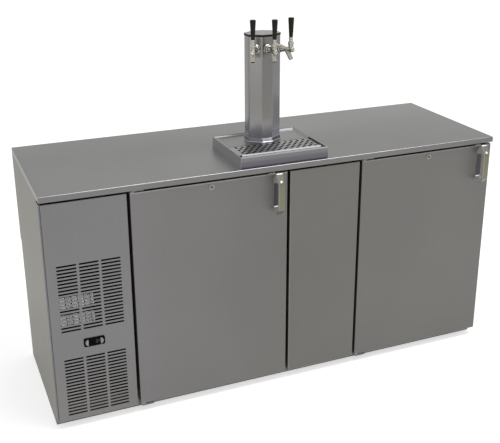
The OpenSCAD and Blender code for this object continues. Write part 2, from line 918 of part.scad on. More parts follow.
// Copper lines: suction, liquid and discharge
module refrigerant_lines() {
    suction_x = bay_mid + 18;
    discharge_x = bay_mid - 18;
    liquid_x = condenser_x0 + 18;
    coil_top = evap_coil_z0 + evap_coil_h;
    color(copper) {
        pipe([[suction_x, compressor_y, compressor_top], [suction_x, compressor_y, suction_z],
              [suction_x, line_y, suction_z], [line_x1, line_y, suction_z],
              [line_x1, line_y, coil_top]], suction_r);
        pipe([[liquid_x, condenser_mid, condenser_top], [liquid_x, condenser_mid, liquid_z],
              [liquid_x, line_y, liquid_z], [line_x1 - 20, line_y, liquid_z],
              [line_x1 - 20, line_y, coil_top]], liquid_r);
        pipe([[discharge_x, compressor_y, compressor_top], [discharge_x, compressor_y, discharge_z],
              [discharge_x, condenser_mid, discharge_z],
              [discharge_x, condenser_mid, condenser_top]], liquid_r);
    }
}

// Opening in the rear panel for the power inlet, grown by g
module power_cutout(g) {
    half_w = inlet_w / 2 + 0.5 + g;
    half_h = inlet_h / 2 + 0.5 + g;
    block([bay_mid - half_w, y_rear - 2 * sheet, inlet_z - half_h],
          [bay_mid + half_w, y_rear + over, inlet_z + half_h]);
}

// Block round the inlet's middle, smaller than its body by g on each side, between two depths
module inlet_block(g, y0, y1) {
    block([bay_mid - inlet_w / 2 + g, y0, inlet_z - inlet_h / 2 + g],
          [bay_mid + inlet_w / 2 - g, y1, inlet_z + inlet_h / 2 - g]);
}

// Recessed inlet that the mains lead plugs into
module power_inlet() {
    color(dark)
        difference() {
            union() {
                inlet_block(0, y_rear - inlet_d, y_rear);
                inlet_block(-inlet_rim, y_rear, y_rear + inlet_rim_t);
            }
            inlet_block(inlet_wall, y_rear - socket_d, y_rear + inlet_rim_t + over);
        }
}

// Hinges

// Bracket with its plate over or under the door and its leaf on the front of the cabinet
module hinge_bracket(x, z0, leaf_z0) {
    x0 = x - hinge_inset + 5;
    difference() {
        union() {
            block([x0, y_front + 2, z0], [x0 + bracket_w, y_frame, z0 + bracket_t]);
            block([x0, y_frame - 3, leaf_z0], [x0 + bracket_w, y_frame, leaf_z0 + bracket_leaf_h]);
        }
        translate([x, hinge_y, z0 - over])
            cylinder(h = bracket_t + 2 * over, r = hinge_pin_r + pin_fit);
    }
}

module hinge_brackets() {
    top = z_door_top + bracket_gap;
    bottom = z_door_bot - bracket_gap - bracket_t;
    color(bright)
        for (x = hinge_x) {
            hinge_bracket(x, top, top);
            hinge_bracket(x, bottom, bottom + bracket_t - bracket_leaf_h);
        }
}

module hinge_pins() {
    color(bright)
        for (x = hinge_x) {
            translate([x, hinge_y, z_door_top - pin_grip])
                cylinder(h = pin_grip + bracket_gap + bracket_t, r = hinge_pin_r);
            translate([x, hinge_y, z_door_bot - bracket_gap - bracket_t])
                cylinder(h = pin_grip + bracket_gap + bracket_t, r = hinge_pin_r);
        }
}

// Doors, built for the door whose left edge is door_x0[d]

module door_skin(d) {
    x0 = door_x0[d];
    lock_x = x0 + door_w / 2;
    cam_y = y_front + lock_barrel_l + 2;
    color(steel)
        difference() {
            front_pan([x0, y_front, z_door_bot],
                      [x0 + door_w, y_door_back - sheet, z_door_top], front_edge_r);
            bar_y(lock_x, lock_z, y_front - over, y_front + sheet + over, lock_barrel_r);
            for (z = [z_door_bot - over, z_door_top - sheet - over])
                translate([hinge_x[d], hinge_y, z])
                    cylinder(h = sheet + 2 * over, r = bushing_r);
            block([lock_x - lock_cam_l - 2, cam_y - over, z_door_top - sheet - over],
                  [lock_x + 8, cam_y + lock_cam_t + over, z_door_top + over]);
        }
}

module door_liner(d) {
    x0 = door_x0[d];
    color(galvanised)
        block([x0, y_door_back - sheet, z_door_bot], [x0 + door_w, y_door_back, z_door_top]);
}

module door_gasket(d) {
    x0 = door_x0[d] + seal_inset;
    x1 = door_x0[d] + door_w - seal_inset;
    z0 = z_door_bot + seal_inset;
    z1 = z_door_top - seal_inset;
    color(dark)
        difference() {
            block([x0, y_door_back, z0], [x1, y_frame, z1]);
            block([x0 + gasket_w, y_door_back - over, z0 + gasket_w],
                  [x1 - gasket_w, y_frame + over, z1 - gasket_w]);
        }
}

module door_bushings(d) {
    color([0.85, 0.85, 0.82])
        translate([hinge_x[d], hinge_y, 0])
            difference() {
                union() {
                    translate([0, 0, z_door_top - bushing_h])
                        cylinder(h = bushing_h, r = bushing_r);
                    translate([0, 0, z_door_top])
                        cylinder(h = bushing_flange_t, r = bushing_r + 2);
                    translate([0, 0, z_door_bot])
                        cylinder(h = bushing_h, r = bushing_r);
                    translate([0, 0, z_door_bot - bushing_flange_t])
                        cylinder(h = bushing_flange_t, r = bushing_r + 2);
                }
                cylinder(h = counter_h, r = hinge_pin_r + pin_fit);
            }
}

// Side view of a handle: first value is the distance in front of the door, second the height over its top
module handle_outline() {
    inner = handle_out - handle_t;
    foot_z = -handle_h + handle_foot;
    difference() {
        polygon([[0, -0.7 * handle_slant], [handle_peak - 4, 0], [handle_peak, 0],
                 [handle_out, -handle_slant], [handle_out, foot_z], [handle_toe, -handle_h],
                 [0, -handle_h + 0.8 * handle_foot]]);
        polygon([[handle_plate_t, -1.3 * handle_slant], [inner - 6, -handle_slant - 1],
                 [inner, -handle_slant - 5], [inner, foot_z + 5], [handle_plate_t, foot_z + 5]]);
    }
}

// Screw or its pocket in a handle's slanted shoulder, between two heights over the shoulder
module handle_screw(d, h0, h1, r) {
    x = door_x0[d] + door_w - handle_edge[d] - handle_w / 2;
    slope = atan2(handle_slant, handle_out - handle_peak);
    translate([x, y_front - handle_out, handle_top - handle_slant])
        rotate([slope, 0, 0])
            translate([0, handle_screw_up, h0])
                cylinder(h = h1 - h0, r = r);
}

// Bent bar of a handle, the screw in its slanted shoulder and the latch cap on the door's corner
module door_handle(d) {
    door_x1 = door_x0[d] + door_w;
    x1 = door_x1 - handle_edge[d];
    color(bright) {
        difference() {
            translate([x1 - handle_w, y_front, handle_top])
                rotate([90, 0, 90])
                    linear_extrude(handle_w)
                        mirror([1, 0])
                            handle_outline();
            handle_screw(d, -handle_screw_t, handle_screw_t, handle_screw_r + 0.1);
        }
        handle_screw(d, -handle_screw_t + 0.05, 0.6, handle_screw_r);
        block([door_x1 - latch_cap_w, y_front, z_door_top],
              [door_x1, y_front + latch_cap_d, z_door_top + latch_cap_t]);
    }
}

module door_lock_body(d) {
    x = door_x0[d] + door_w / 2;
    color(bright)
        difference() {
            union() {
                bar_y(x, lock_z, y_front - lock_proud, y_front, lock_flange_r);
                bar_y(x, lock_z, y_front, y_front + lock_barrel_l, lock_barrel_r);
            }
            bar_y(x, lock_z, y_front - lock_proud - over, y_front + lock_barrel_l + over,
                  lock_plug_r + pin_fit);
        }
}

// Plug with its key slot at the front and its cam, lying to the left, at the back
module door_lock_plug(d) {
    x = door_x0[d] + door_w / 2;
    cam_y = y_front + lock_barrel_l + 2;
    color(bright)
        difference() {
            union() {
                bar_y(x, lock_z, y_front - lock_proud - 0.5, cam_y + lock_cam_t, lock_plug_r);
                block([x - lock_cam_l, cam_y, lock_z - lock_plug_r],
                      [x, cam_y + lock_cam_t, lock_z + lock_plug_r]);
            }
            block([x - key_w / 2, y_front - lock_proud - over, lock_z - key_h / 2],
                  [x + key_w / 2, y_front + 4, lock_z + key_h / 2]);
        }
}

// Drip tray

// Upright prism on a rectangle with round corners
module round_block(p0, p1, r) {
    size = p1 - p0;
    translate(p0)
        linear_extrude(size[2]) {
            translate([r, 0])
                square([size[0] - 2 * r, size[1]]);
            translate([0, r])
                square([size[0], size[1] - 2 * r]);
            for (x = [r, size[0] - r], y = [r, size[1] - r])
                translate([x, y])
                    circle(r = r);
        }
}

module drip_tray() {
    in0 = tray_x0 + tray_wall;
    in1 = tray_x1 - tray_wall;
    rim = counter_h + tray_h;
    inner_r = max(tray_corner_r - tray_wall, 1);
    color(steel)
        difference() {
            round_block([tray_x0, tray_y0, counter_h], [tray_x1, tray_y1, rim], tray_corner_r);
            round_block([in0, tray_y0 + tray_wall, deck_z],
                        [in1, tray_y1 - tray_wall, rim + over], inner_r);
            block([in0, ledge_y1, tray_floor], [in1, deck_y0, deck_z + over]);
            block([in0, tray_y0 + tray_wall, counter_h - over], [in1, ledge_y1 - sheet, deck_z - 2 * sheet]);
            block([in0, deck_y0 + sheet, counter_h - over],
                  [in1, tray_y1 - tray_wall - inner_r, deck_z - 2 * sheet]);
            translate([tower_x, tower_y, counter_h])
                cylinder(h = tray_h + over, r = tower_hole_r);
            translate([drain_x, drain_y, counter_h - over])
                cylinder(h = tray_h, r = drain_r + seam);
        }
}

// One oblong hole of the grid
module grid_slot(x, y) {
    straight = grid_slot_l - grid_slot_w;
    translate([x, y]) {
        square([grid_slot_w, straight], center = true);
        for (side = [-1, 1])
            translate([0, side * straight / 2])
                circle(r = grid_slot_w / 2);
    }
}

module drip_grid() {
    grid_w = grid_x1 - grid_x0;
    cols = floor((grid_w - 20) / grid_pitch_x);
    first_y = (grid_y0 + grid_y1) / 2 + grid_field_shift - (grid_rows - 1) * grid_pitch_y / 2;
    color(bright) {
        translate([0, 0, deck_z - grid_t])
            linear_extrude(grid_t)
                difference() {
                    translate([grid_x0, grid_y0])
                        square([grid_w, grid_d]);
                    for (row = [0:grid_rows - 1])
                        for (col = [0:cols - 1])
                            grid_slot(tower_x + (col - (cols - 1 - (row + 1) % 2) / 2) * grid_pitch_x,
                                      first_y + row * grid_pitch_y);
                }
        block([grid_x0, grid_y0, tray_floor], [grid_x1, grid_y0 + grid_t, deck_z + grid_hem_h]);
        block([grid_x0, grid_y1 - grid_t, tray_floor], [grid_x1, grid_y1, deck_z]);
    }
}

module drain_fitting() {
    neck_z = roof_z - 4;
    spigot_z = neck_z - spigot_l;
    color(bright)
        translate([drain_x, drain_y, 0])
            difference() {
                union() {
                    translate([0, 0, spigot_z])
                        cylinder(h = spigot_l + over, r = spigot_r);
                    translate([0, 0, neck_z])
                        cylinder(h = tray_floor - neck_z, r = drain_r);
                    translate([0, 0, tray_floor])
                        cylinder(h = sheet, r = drain_r + 6);
                }
                translate([0, 0, spigot_z - over])
                    cylinder(h = counter_h, r = spigot_r - 2.5);
            }
}

// Tower

module tower_column() {
    color(steel)
        difference() {
            tower_prism(column_z0, column_z1, 0);
            tower_prism(column_z0 - over, column_z1 + over, -tower_wall);
            for (i = [0:2])
                at_tap(i)
                    outward(-tower_wall - over, over, shank_r + shank_fit, shank_r + shank_fit);
        }
}

module tower_flange() {
    color(steel)
        difference() {
            hull() {
                tower_prism(column_z0, column_z0 + flange_h / 2, flange_w);
                tower_prism(column_z0, column_z0 + flange_h, flange_w / 2);
            }
            tower_prism(column_z0 - over, column_z0 + flange_h + over, 0);
        }
}

module cap_gasket() {
    color(dark)
        difference() {
            tower_prism(column_z1, column_z1 + cap_gasket_t, cap_lap);
            tower_prism(column_z1 - over, column_z1 + cap_gasket_t + over, -tower_wall);
        }
}

module tower_cap() {
    z0 = column_z1 + cap_gasket_t;
    color(steel)
        hull() {
            tower_prism(z0, z0 + cap_t / 2, cap_lap / 2);
            tower_prism(z0, z0 + cap_t, -cap_t);
        }
}

// Taps

module shanks() {
    color(bright)
        for (i = [0:2])
            at_tap(i)
                difference() {
                    union() {
                        outward(-shank_in, shank_out, shank_r, shank_r);
                        outward(-shank_in - 10, -shank_in, beer_line_r - 2, beer_line_r - 2);
                    }
                    outward(-shank_in - 11, shank_out + over, 2, 2);
                }
}

module shank_collars() {
    color(bright)
        for (i = [0:2])
            at_tap(i)
                difference() {
                    union() {
                        outward(0, collar_t / 2, collar_r, collar_r);
                        outward(collar_t / 2, collar_t, collar_r, collar_r - 4);
                    }
                    outward(-over, collar_t + over, shank_r + shank_fit, shank_r + shank_fit);
                }
}

// Hexagon nuts inside the column and round coupling nuts in front of the collars
module shank_nuts() {
    color(bright)
        for (i = [0:2])
            at_tap(i) {
                difference() {
                    translate([0, tower_wall + nut_t, 0])
                        rotate([90, 0, 0])
                            cylinder(h = nut_t, r = nut_r, $fn = 6);
                    outward(-tower_wall - nut_t - over, -tower_wall + over,
                            shank_r + shank_fit, shank_r + shank_fit);
                }
                difference() {
                    union() {
                        outward(collar_t + 1, shank_out - 1, coupling_r, coupling_r);
                        outward(shank_out - 1, shank_out + 1, coupling_r, coupling_r - 2);
                    }
                    outward(collar_t, shank_out + 2, shank_r + shank_fit, shank_r + shank_fit);
                }
            }
}

// Tap with its barrel, spout and the dome that carries the lever
module tap_body() {
    barrel_u1 = lever_reach + 12;
    difference() {
        union() {
            outward(shank_out + 1, shank_out + 6, 13, 13);
            outward(shank_out + 6, shank_out + 20, 13, barrel_r - 1);
            outward(shank_out + 20, lever_reach - 10, barrel_r - 1, barrel_r);
            outward(lever_reach - 10, barrel_u1 - 2, barrel_r, barrel_r);
            outward(barrel_u1 - 2, barrel_u1, barrel_r, barrel_r - 2);
            translate([0, -lever_reach, 0])
                cylinder(h = pivot_h, r = dome_r);
            translate([0, -lever_reach, pivot_h])
                sphere(r = dome_r);
            translate([0, -spout_u, -2])
                rotate([180 - spout_lean, 0, 0])
                    cylinder(h = spout_l, r1 = spout_r0, r2 = spout_r1);
        }
        outward(shank_out, valve_u0 + over, 5, 5);
        outward(valve_u0 - valve_travel - 2, valve_u1 + over, valve_r + valve_fit, valve_r + valve_fit);
        translate([0, -spout_u, -2])
            rotate([180 - spout_lean, 0, 0])
                translate([0, 0, 2])
                    cylinder(h = spout_l, r = spout_bore);
        translate([0, -lever_reach, pivot_h])
            sphere(r = socket_r);
        translate([0, -lever_reach, 0]) {
            block([-2.7, -3.4, -2.6], [2.7, 11, 8]);
            block([-2.7, -3.4, 7], [2.7, 5.4, pivot_h]);
            block([-stem_r - 0.6, -dome_r - over, pivot_h + 0.6],
                  [stem_r + 0.6, stem_r + 0.8, pivot_h + dome_r + over]);
        }
    }
}

module tap_bodies() {
    color(bright)
        for (i = [0:2])
            at_tap(i)
                tap_body();
}

// Lever with its ball, the finger that moves the valve, the skirt over the dome and the ferrule
module tap_lever(i) {
    color(bright)
        at_tap(i)
            translate([0, -lever_reach, pivot_h]) {
                sphere(r = ball_r);
                translate([0, 0, -pivot_h])
                    cylinder(h = pivot_h, r = finger_r);
                translate([0, 0, -pivot_h])
                    sphere(r = tip_r);
                cylinder(h = skirt_r, r = stem_r);
                difference() {
                    union() {
                        sphere(r = skirt_r);
                        translate([0, 0, skirt_low])
                            cylinder(h = bonnet_top - pivot_h - skirt_low - 3, r = skirt_r - 1.5);
                    }
                    sphere(r = dome_r + skirt_gap);
                    translate([0, 0, skirt_low - 2 * skirt_r])
                        cylinder(h = 2 * skirt_r, r = 2 * skirt_r);
                }
                translate([0, 0, bonnet_top - pivot_h - 3])
                    cylinder(h = 3, r1 = skirt_r - 1.5, r2 = ferrule_r);
                translate([0, 0, bonnet_top - pivot_h])
                    cylinder(h = knob_z - bonnet_top, r = ferrule_r);
            }
}

module tap_knob(i) {
    color(dark)
        at_tap(i)
            translate([0, -lever_reach, knob_z])
                rotate_extrude()
                    polygon([[0, 0], [knob_r0 - 0.6, 0], [knob_r0, 0.8], [knob_r1, knob_h - 3],
                             [knob_r1 - 0.6, knob_h - 1], [knob_r1 - 2.4, knob_h], [0, knob_h]]);
}

module tap_valve(i) {
    color(bright)
        at_tap(i)
            difference() {
                outward(valve_u0, valve_u1 - 1, valve_r, valve_r);
                translate([0, -lever_reach, 0])
                    block([-tip_r - 0.4, -tip_r - tip_fit, -tip_r - 0.4],
                          [tip_r + 0.4, tip_r + tip_fit, valve_r + over]);
            }
}

// Beer lines from the shanks' tails down the column into the cold room
module beer_lines() {
    color([0.85, 0.87, 0.85])
        for (i = [0:2])
            at_tap(i)
                difference() {
                    union() {
                        outward(-shank_in - 9, -shank_in - 0.2, beer_line_r, beer_line_r);
                        translate([0, shank_in + 9, -line_bend])
                            rotate([90, 0, 90])
                                rotate_extrude(angle = 90)
                                    translate([line_bend, 0])
                                        circle(r = beer_line_r);
                        translate([0, shank_in + 9 + line_bend, roof_z - 60 - shank_z])
                            cylinder(h = shank_z - line_bend - roof_z + 60, r = beer_line_r);
                    }
                    outward(-shank_in - 11, -shank_in, beer_line_r - 2, beer_line_r - 2);
                }
}

countertop();
left_side_panel();
right_side_panel();
rear_panel();
base_pan();
insulation();
liner_panels();
front_frame();
mullion_panel();
grille_panel();
controller_housing();
controller_button_left();
controller_button_right();
unit_shelf();
compressor();
fin_coils();
fan_shroud();
fan_motors();
condenser_fan();
evaporator_housing();
evaporator_fan();
refrigerant_lines();
power_inlet();
hinge_brackets();
hinge_pins();
door_skin(0);  // door_1_skin
door_liner(0);  // door_1_liner
door_gasket(0);  // door_1_gasket
door_bushings(0);  // door_1_bushings
door_handle(0);  // door_1_handle
door_lock_body(0);  // door_1_lock_body
door_lock_plug(0);  // door_1_lock_plug
door_skin(1);  // door_2_skin
door_liner(1);  // door_2_liner
door_gasket(1);  // door_2_gasket
door_bushings(1);  // door_2_bushings
door_handle(1);  // door_2_handle
door_lock_body(1);  // door_2_lock_body
door_lock_plug(1);  // door_2_lock_plug
drip_tray();
drip_grid();
drain_fitting();
tower_column();
tower_flange();
tower_cap();
cap_gasket();
shanks();
shank_collars();
shank_nuts();
tap_bodies();
beer_lines();
tap_lever(0);  // tap_lever_1
tap_lever(1);  // tap_lever_2
tap_lever(2);  // tap_lever_3
tap_knob(0);  // tap_knob_1
tap_knob(1);  // tap_knob_2
tap_knob(2);  // tap_knob_3
tap_valve(0);  // tap_valve_1
tap_valve(1);  // tap_valve_2
tap_valve(2);  // tap_valve_3
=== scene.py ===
"""Looks of a draft beer cooler: a steel keg cabinet with two doors, a machine bay and a three-tap tower."""

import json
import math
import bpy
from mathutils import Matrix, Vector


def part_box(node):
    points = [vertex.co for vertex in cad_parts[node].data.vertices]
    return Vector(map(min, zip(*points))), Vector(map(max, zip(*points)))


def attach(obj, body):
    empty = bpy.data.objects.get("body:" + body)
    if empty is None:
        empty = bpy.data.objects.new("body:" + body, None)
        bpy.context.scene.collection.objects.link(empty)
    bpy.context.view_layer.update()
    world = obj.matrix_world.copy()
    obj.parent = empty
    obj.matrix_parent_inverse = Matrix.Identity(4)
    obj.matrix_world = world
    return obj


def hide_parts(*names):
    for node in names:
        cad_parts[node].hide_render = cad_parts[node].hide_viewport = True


bl_info = {
    "name": "Draft Beer Cooler",
    "version": (1, 0, 0),
    "blender": (4, 5, 0),
    "location": "View3D > Sidebar > Beer Cooler",
    "description": "Dresses the keg cabinet, its drip tray and its tap tower with finishes and fine pieces",
    "category": "Object",
}

import bmesh
import bpy
import numpy as np

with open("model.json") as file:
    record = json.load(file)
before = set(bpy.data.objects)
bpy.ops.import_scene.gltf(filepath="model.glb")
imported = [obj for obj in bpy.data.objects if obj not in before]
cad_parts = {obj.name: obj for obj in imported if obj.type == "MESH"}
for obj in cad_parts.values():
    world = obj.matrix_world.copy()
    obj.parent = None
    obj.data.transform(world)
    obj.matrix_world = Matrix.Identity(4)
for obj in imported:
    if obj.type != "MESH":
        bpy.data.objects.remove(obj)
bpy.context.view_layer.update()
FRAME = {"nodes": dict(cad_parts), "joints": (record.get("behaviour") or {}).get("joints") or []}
NODES = FRAME["nodes"]
JOINTS = {joint["name"]: joint for joint in FRAME["joints"]}
MM = 0.001


# Values that a user would change


def colour_value(name, description, *default):
    """A colour property, as linear red, green and blue."""
    return bpy.props.FloatVectorProperty(
        name=name, description=description, subtype="COLOR", size=3, min=0, max=1, default=default)


def length_value(name, description, low, high, default):
    """A length property, in metres."""
    return bpy.props.FloatProperty(
        name=name, description=description, subtype="DISTANCE", unit="LENGTH",
        min=low, max=high, default=default)


class CoolerFinish(bpy.types.PropertyGroup):
    """Colours of the cooler's finishes."""

    steel: colour_value("Brushed steel", "Colour of the cabinet's stainless sheet", 0.165, 0.162, 0.156)
    counter: colour_value("Counter steel", "Colour of the countertop and the grid", 0.232, 0.230, 0.221)
    side: colour_value("Side steel", "Colour of the cabinet's side panels", 0.155, 0.153, 0.147)
    # tray is painted shade: the darker colour low on the drip tray's walls
    tray: colour_value("Tray steel", "Colour of the drip tray's lower walls", 0.137, 0.132, 0.149)
    # hem is the colour of painted highlights on the hems and rounded edges
    hem: colour_value("Hem steel", "Colour of the bright hems and edges", 0.52, 0.51, 0.55)
    tower: colour_value("Tower steel", "Colour of the tap tower", 0.197, 0.192, 0.188)
    chrome: colour_value("Chrome", "Colour of the plated taps and locks", 0.37, 0.36, 0.315)
    handle: colour_value("Handles", "Colour of the polished door handles", 0.185, 0.182, 0.128)
    # plate is painted shade: the plates behind the grips are dark for the shade there
    plate: colour_value("Handle plates", "Colour of the plates behind the grips", 0.07, 0.066, 0.078)
    knob: colour_value("Tap knobs", "Colour of the tap knobs", 0.02, 0.02, 0.016)


class CoolerSizes(bpy.types.PropertyGroup):
    """Sizes of the fine pieces."""

    handle_edge: length_value("Handle edge", "Radius of a handle bar's long edges", 0.0005, 0.004, 0.0028)
    hem_radius: length_value("Tray hem", "Radius of the rolled hem round the drip tray", 0.0005, 0.004, 0.002)
    fin_pitch: length_value("Fin pitch", "Distance from one coil fin to the next", 0.0015, 0.006, 0.0033)


class CoolerStage(bpy.types.PropertyGroup):
    """The camera and the light."""

    lens: bpy.props.FloatProperty(
        name="Lens", description="Focal length of the camera",
        subtype="DISTANCE_CAMERA", unit="CAMERA", min=20, max=200, default=61.48)
    sky: bpy.props.FloatProperty(
        name="Room light", description="Brightness of the even light from all round",
        min=0, max=2, default=0.55)
    lamp: bpy.props.FloatProperty(
        name="Lamp power", description="Power of the main soft lamp",
        subtype="POWER", unit="POWER", min=0, max=2000, default=60)


# Meshes

# Points on a rounded corner of an outline, and the angles of the points on a small rounded edge
CORNER_STEPS = 6
QUARTER = np.linspace(0, np.pi / 2, 5)
# How far inside its rim a ring keeps a plate's face flat, the least radius of a plate's corner, and how close
# together points are merged
RIM_INSET, LEAST_CORNER, MERGE = 0.4 * MM, 0.1 * MM, 0.001 * MM


def node_box(node):
    """Lowest and highest corner of a CAD node as arrays, in metres."""
    low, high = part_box(node)
    return np.array(low), np.array(high)


def node_points(node):
    """Corner points of a CAD node as an array, in metres."""
    mesh = NODES[node].data
    points = np.empty(3 * len(mesh.vertices))
    mesh.vertices.foreach_get("co", points)
    return points.reshape(-1, 3)


def grid_quads(rows, columns, wrap_rows=False, wrap_columns=False):
    """Quads of a grid of points: each cell joins a point to its right, upper-right and upper neighbour."""
    i = np.arange(rows if wrap_rows else rows - 1)[:, None]
    j = np.arange(columns if wrap_columns else columns - 1)[None, :]
    i1, j1 = (i + 1) % rows, (j + 1) % columns
    cells = [i * columns + j, i * columns + j1, i1 * columns + j1, i1 * columns + j]
    return np.stack(np.broadcast_arrays(*cells), -1).reshape(-1, 4)


def joined(*surfaces):
    """Several (points, faces) surfaces as one, each one's face numbers moved past the points before it."""
    starts = np.cumsum([0] + [len(points) for points, _ in surfaces[:-1]])
    points = np.concatenate([points for points, _ in surfaces])
    return points, np.concatenate([quads + start for (_, quads), start in zip(surfaces, starts)])


def corner_curves(before, corner, after, reach, steps):
    """Quadratic curves round corners: (1 - t)^2 * start + 2 t (1 - t) * corner + t^2 * end.

    start and end lie reach away from each corner, towards the points before and after it."""
    back, ahead = before - corner, after - corner
    start = corner + back / np.linalg.norm(back, axis=1, keepdims=True) * reach
    end = corner + ahead / np.linalg.norm(ahead, axis=1, keepdims=True) * reach
    t = np.linspace(0, 1, steps)[None, :, None]
    curve = (1 - t) ** 2 * start[:, None] + 2 * t * (1 - t) * corner[:, None] + t ** 2 * end[:, None]
    return curve.reshape(-1, corner.shape[1])


def rounded_loop(corners, reach):
    """A closed path with its corners rounded by curves that start reach away from them."""
    corners = np.asarray(corners, float)
    reach = np.broadcast_to(reach, len(corners))[:, None]
    return corner_curves(np.roll(corners, 1, 0), corners, np.roll(corners, -1, 0), reach, CORNER_STEPS)


def rounded_outline(width, height, radius):
    """Closed rectangle with quarter-circle corners, as (across, up) points round its middle."""
    angle = np.arange(4)[:, None] * np.pi / 2 + np.linspace(0, np.pi / 2, CORNER_STEPS)
    sign = np.array([[1, 1], [-1, 1], [-1, -1], [1, -1]])
    centre = sign * np.array([width / 2 - radius, height / 2 - radius])
    return (np.stack([np.cos(angle), np.sin(angle)], -1) * radius + centre[:, None]).reshape(-1, 2)


def lathe(knots, curve=6, steps=40):
    """Revolves a profile with rounded corners about Z: x = r cos t, y = r sin t, z = height.

    knots are rows of (radius, height, reach of the curve round that corner) in mm."""
    knots = np.array(knots) * MM
    rows = knots[:, :2]
    curves = corner_curves(rows[:-2], rows[1:-1], rows[2:], knots[1:-1, 2:], curve)
    profile = np.concatenate([rows[:1], curves, rows[-1:]])
    angle = np.linspace(0, 2 * np.pi, steps, endpoint=False)
    radius, height = profile[:, :1], profile[:, 1:]
    points = np.stack(np.broadcast_arrays(radius * np.cos(angle), radius * np.sin(angle), height), -1)
    return points.reshape(-1, 3), grid_quads(len(profile), steps, wrap_columns=True)


def blocks(low, high):
    """Many boxes at once: a unit cube's corners spread between each row of low and of high."""
    corner = np.array([[0, 0, 0], [1, 0, 0], [1, 1, 0], [0, 1, 0],
                       [0, 0, 1], [1, 0, 1], [1, 1, 1], [0, 1, 1]])
    side = np.array([[3, 2, 1, 0], [4, 5, 6, 7], [0, 1, 5, 4], [1, 2, 6, 5], [2, 3, 7, 6], [3, 0, 4, 7]])
    points = low[:, None] + corner * (high - low)[:, None]
    faces = side + len(corner) * np.arange(len(low))[:, None, None]
    return points.reshape(-1, 3), faces.reshape(-1, 4)


def slab(low, high, edge, corner, axis):
    """Plate with a rounded rim on the face that axis points to: stacked rounded rectangles.

    Along the axis the outline stays, then draws in by edge * (1 - cos) as it rises by edge * sin. One more
    ring keeps that face flat, and a middle point closes each end."""
    low, high, axis = (np.asarray(values, float) for values in (low, high, axis))
    main = int(np.abs(axis).argmax())
    across = [(main + 1) % 3, (main + 2) % 3]
    size, tall = (high - low)[across], (high - low)[main]
    inset = np.concatenate([[0], edge * (1 - np.cos(QUARTER)), [edge + RIM_INSET]])
    level = np.concatenate([[0, 0], tall - edge * (1 - np.sin(QUARTER)), [tall, tall]])
    rings = [rounded_outline(*(size - 2 * step), max(corner - step, LEAST_CORNER)) for step in inset]
    middle = np.zeros_like(rings[0])
    rings = np.stack([middle, *rings, middle])
    points = np.zeros(rings.shape[:2] + (3,))
    points[..., across] = ((low + high) / 2)[across] + rings
    points[..., main] = (low[main] + level if axis[main] > 0 else high[main] - level)[:, None]
    return points.reshape(-1, 3), grid_quads(len(level), rings.shape[1], wrap_columns=True)


def loft(*rows):
    """Closed ring through matching level outlines, as (outline, height) rows: the last joins the first."""
    points = [np.c_[outline, np.full(len(outline), level)] for outline, level in rows]
    return np.concatenate(points), grid_quads(len(rows), len(rows[0][0]), wrap_rows=True, wrap_columns=True)


def stood(surface, place, axis, side):
    """Turns a surface so that its Z lies along axis and its X along side, and moves it to a place."""
    points, faces = surface
    return points @ np.stack([side, np.cross(axis, side), axis]) + np.asarray(place), faces


def make_piece(name, surface, finish, body, replaces=(), smooth=35.0):
    """New mesh object from (points, faces): doubles merged, faces turned outwards, riding on a CAD body."""
    points, faces = surface
    mesh = bpy.data.meshes.new(name)
    mesh.from_pydata(points.tolist(), [], faces.tolist())
    shape = bmesh.new()
    shape.from_mesh(mesh)
    bmesh.ops.remove_doubles(shape, verts=shape.verts, dist=MERGE)
    bmesh.ops.recalc_face_normals(shape, faces=shape.faces)
    shape.to_mesh(mesh)
    shape.free()
    mesh.materials.append(finish)
    piece = bpy.data.objects.new(name, mesh)
    bpy.context.scene.collection.objects.link(piece)
    mesh.shade_smooth()
    mesh.set_sharp_from_angle(angle=math.radians(smooth))
    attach(piece, body)
    if replaces:
        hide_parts(*replaces)
    return piece


# Which finish goes where


def dress(finish, *nodes):
    """Gives CAD nodes one finish."""
    for node in nodes:
        mesh = NODES[node].data
        mesh.materials.clear()
        mesh.materials.append(finish)


def repaint(piece, finishes, choose):
    """Gives a piece more finishes: choose turns its faces' normals into the number of the finish on each."""
    mesh = piece.data
    for finish in finishes:
        mesh.materials.append(finish)
    normals = np.empty(3 * len(mesh.polygons))
    mesh.polygons.foreach_get("normal", normals)
    mesh.polygons.foreach_set("material_index", choose(normals.reshape(-1, 3)).astype(np.int32))


def to_front(normal):
    """One on faces that look to the front, else nought."""
    return normal[:, 1] < -0.7


def rounded_edges(normal):
    """One on a front panel's rounded top and bottom edges, which carry a painted highlight, else nought."""
    top = (normal[:, 1] < -0.5) & (normal[:, 2] > 0.5)
    return top | (normal[:, 2] < -0.3) & (normal[:, 1] < -0.1)


# Finishes

# Grain scales in hairlines per metre along X, Y and Z
GRAIN_X = (7.0, 1900.0, 1900.0)
GRAIN_Z = (1900.0, 1900.0, 7.0)
WHITE = (1, 1, 1, 1)


class Tree:
    """A node tree, emptied first, with short calls that add and join its nodes."""

    def __init__(self, owner):
        owner.use_nodes = True
        self.owner = owner
        self.tree = owner.node_tree
        self.tree.nodes.clear()

    def add(self, kind, values=None, **settings):
        """A new node with its settings and the values of its inputs."""
        node = self.tree.nodes.new(kind)
        for key, value in settings.items():
            setattr(node, key, value)
        self.put(node, values or {})
        return node

    @staticmethod
    def put(node, values):
        """Sets inputs of a node, by name or number."""
        for key, value in values.items():
            node.inputs[key].default_value = value

    def join(self, source, output, target, entry):
        """Links one node's output to another's input, by name or number."""
        self.tree.links.new(source.outputs[output], target.inputs[entry])

    def seen(self):
        """A node that gives one where a camera, glossy or transmission ray arrives, else nought."""
        path = self.add("ShaderNodeLightPath")
        first, second = (self.add("ShaderNodeMath", operation="MAXIMUM") for _ in range(2))
        self.join(path, "Is Camera Ray", first, 0)
        self.join(path, "Is Glossy Ray", first, 1)
        self.join(first, 0, second, 0)
        self.join(path, "Is Transmission Ray", second, 1)
        return second


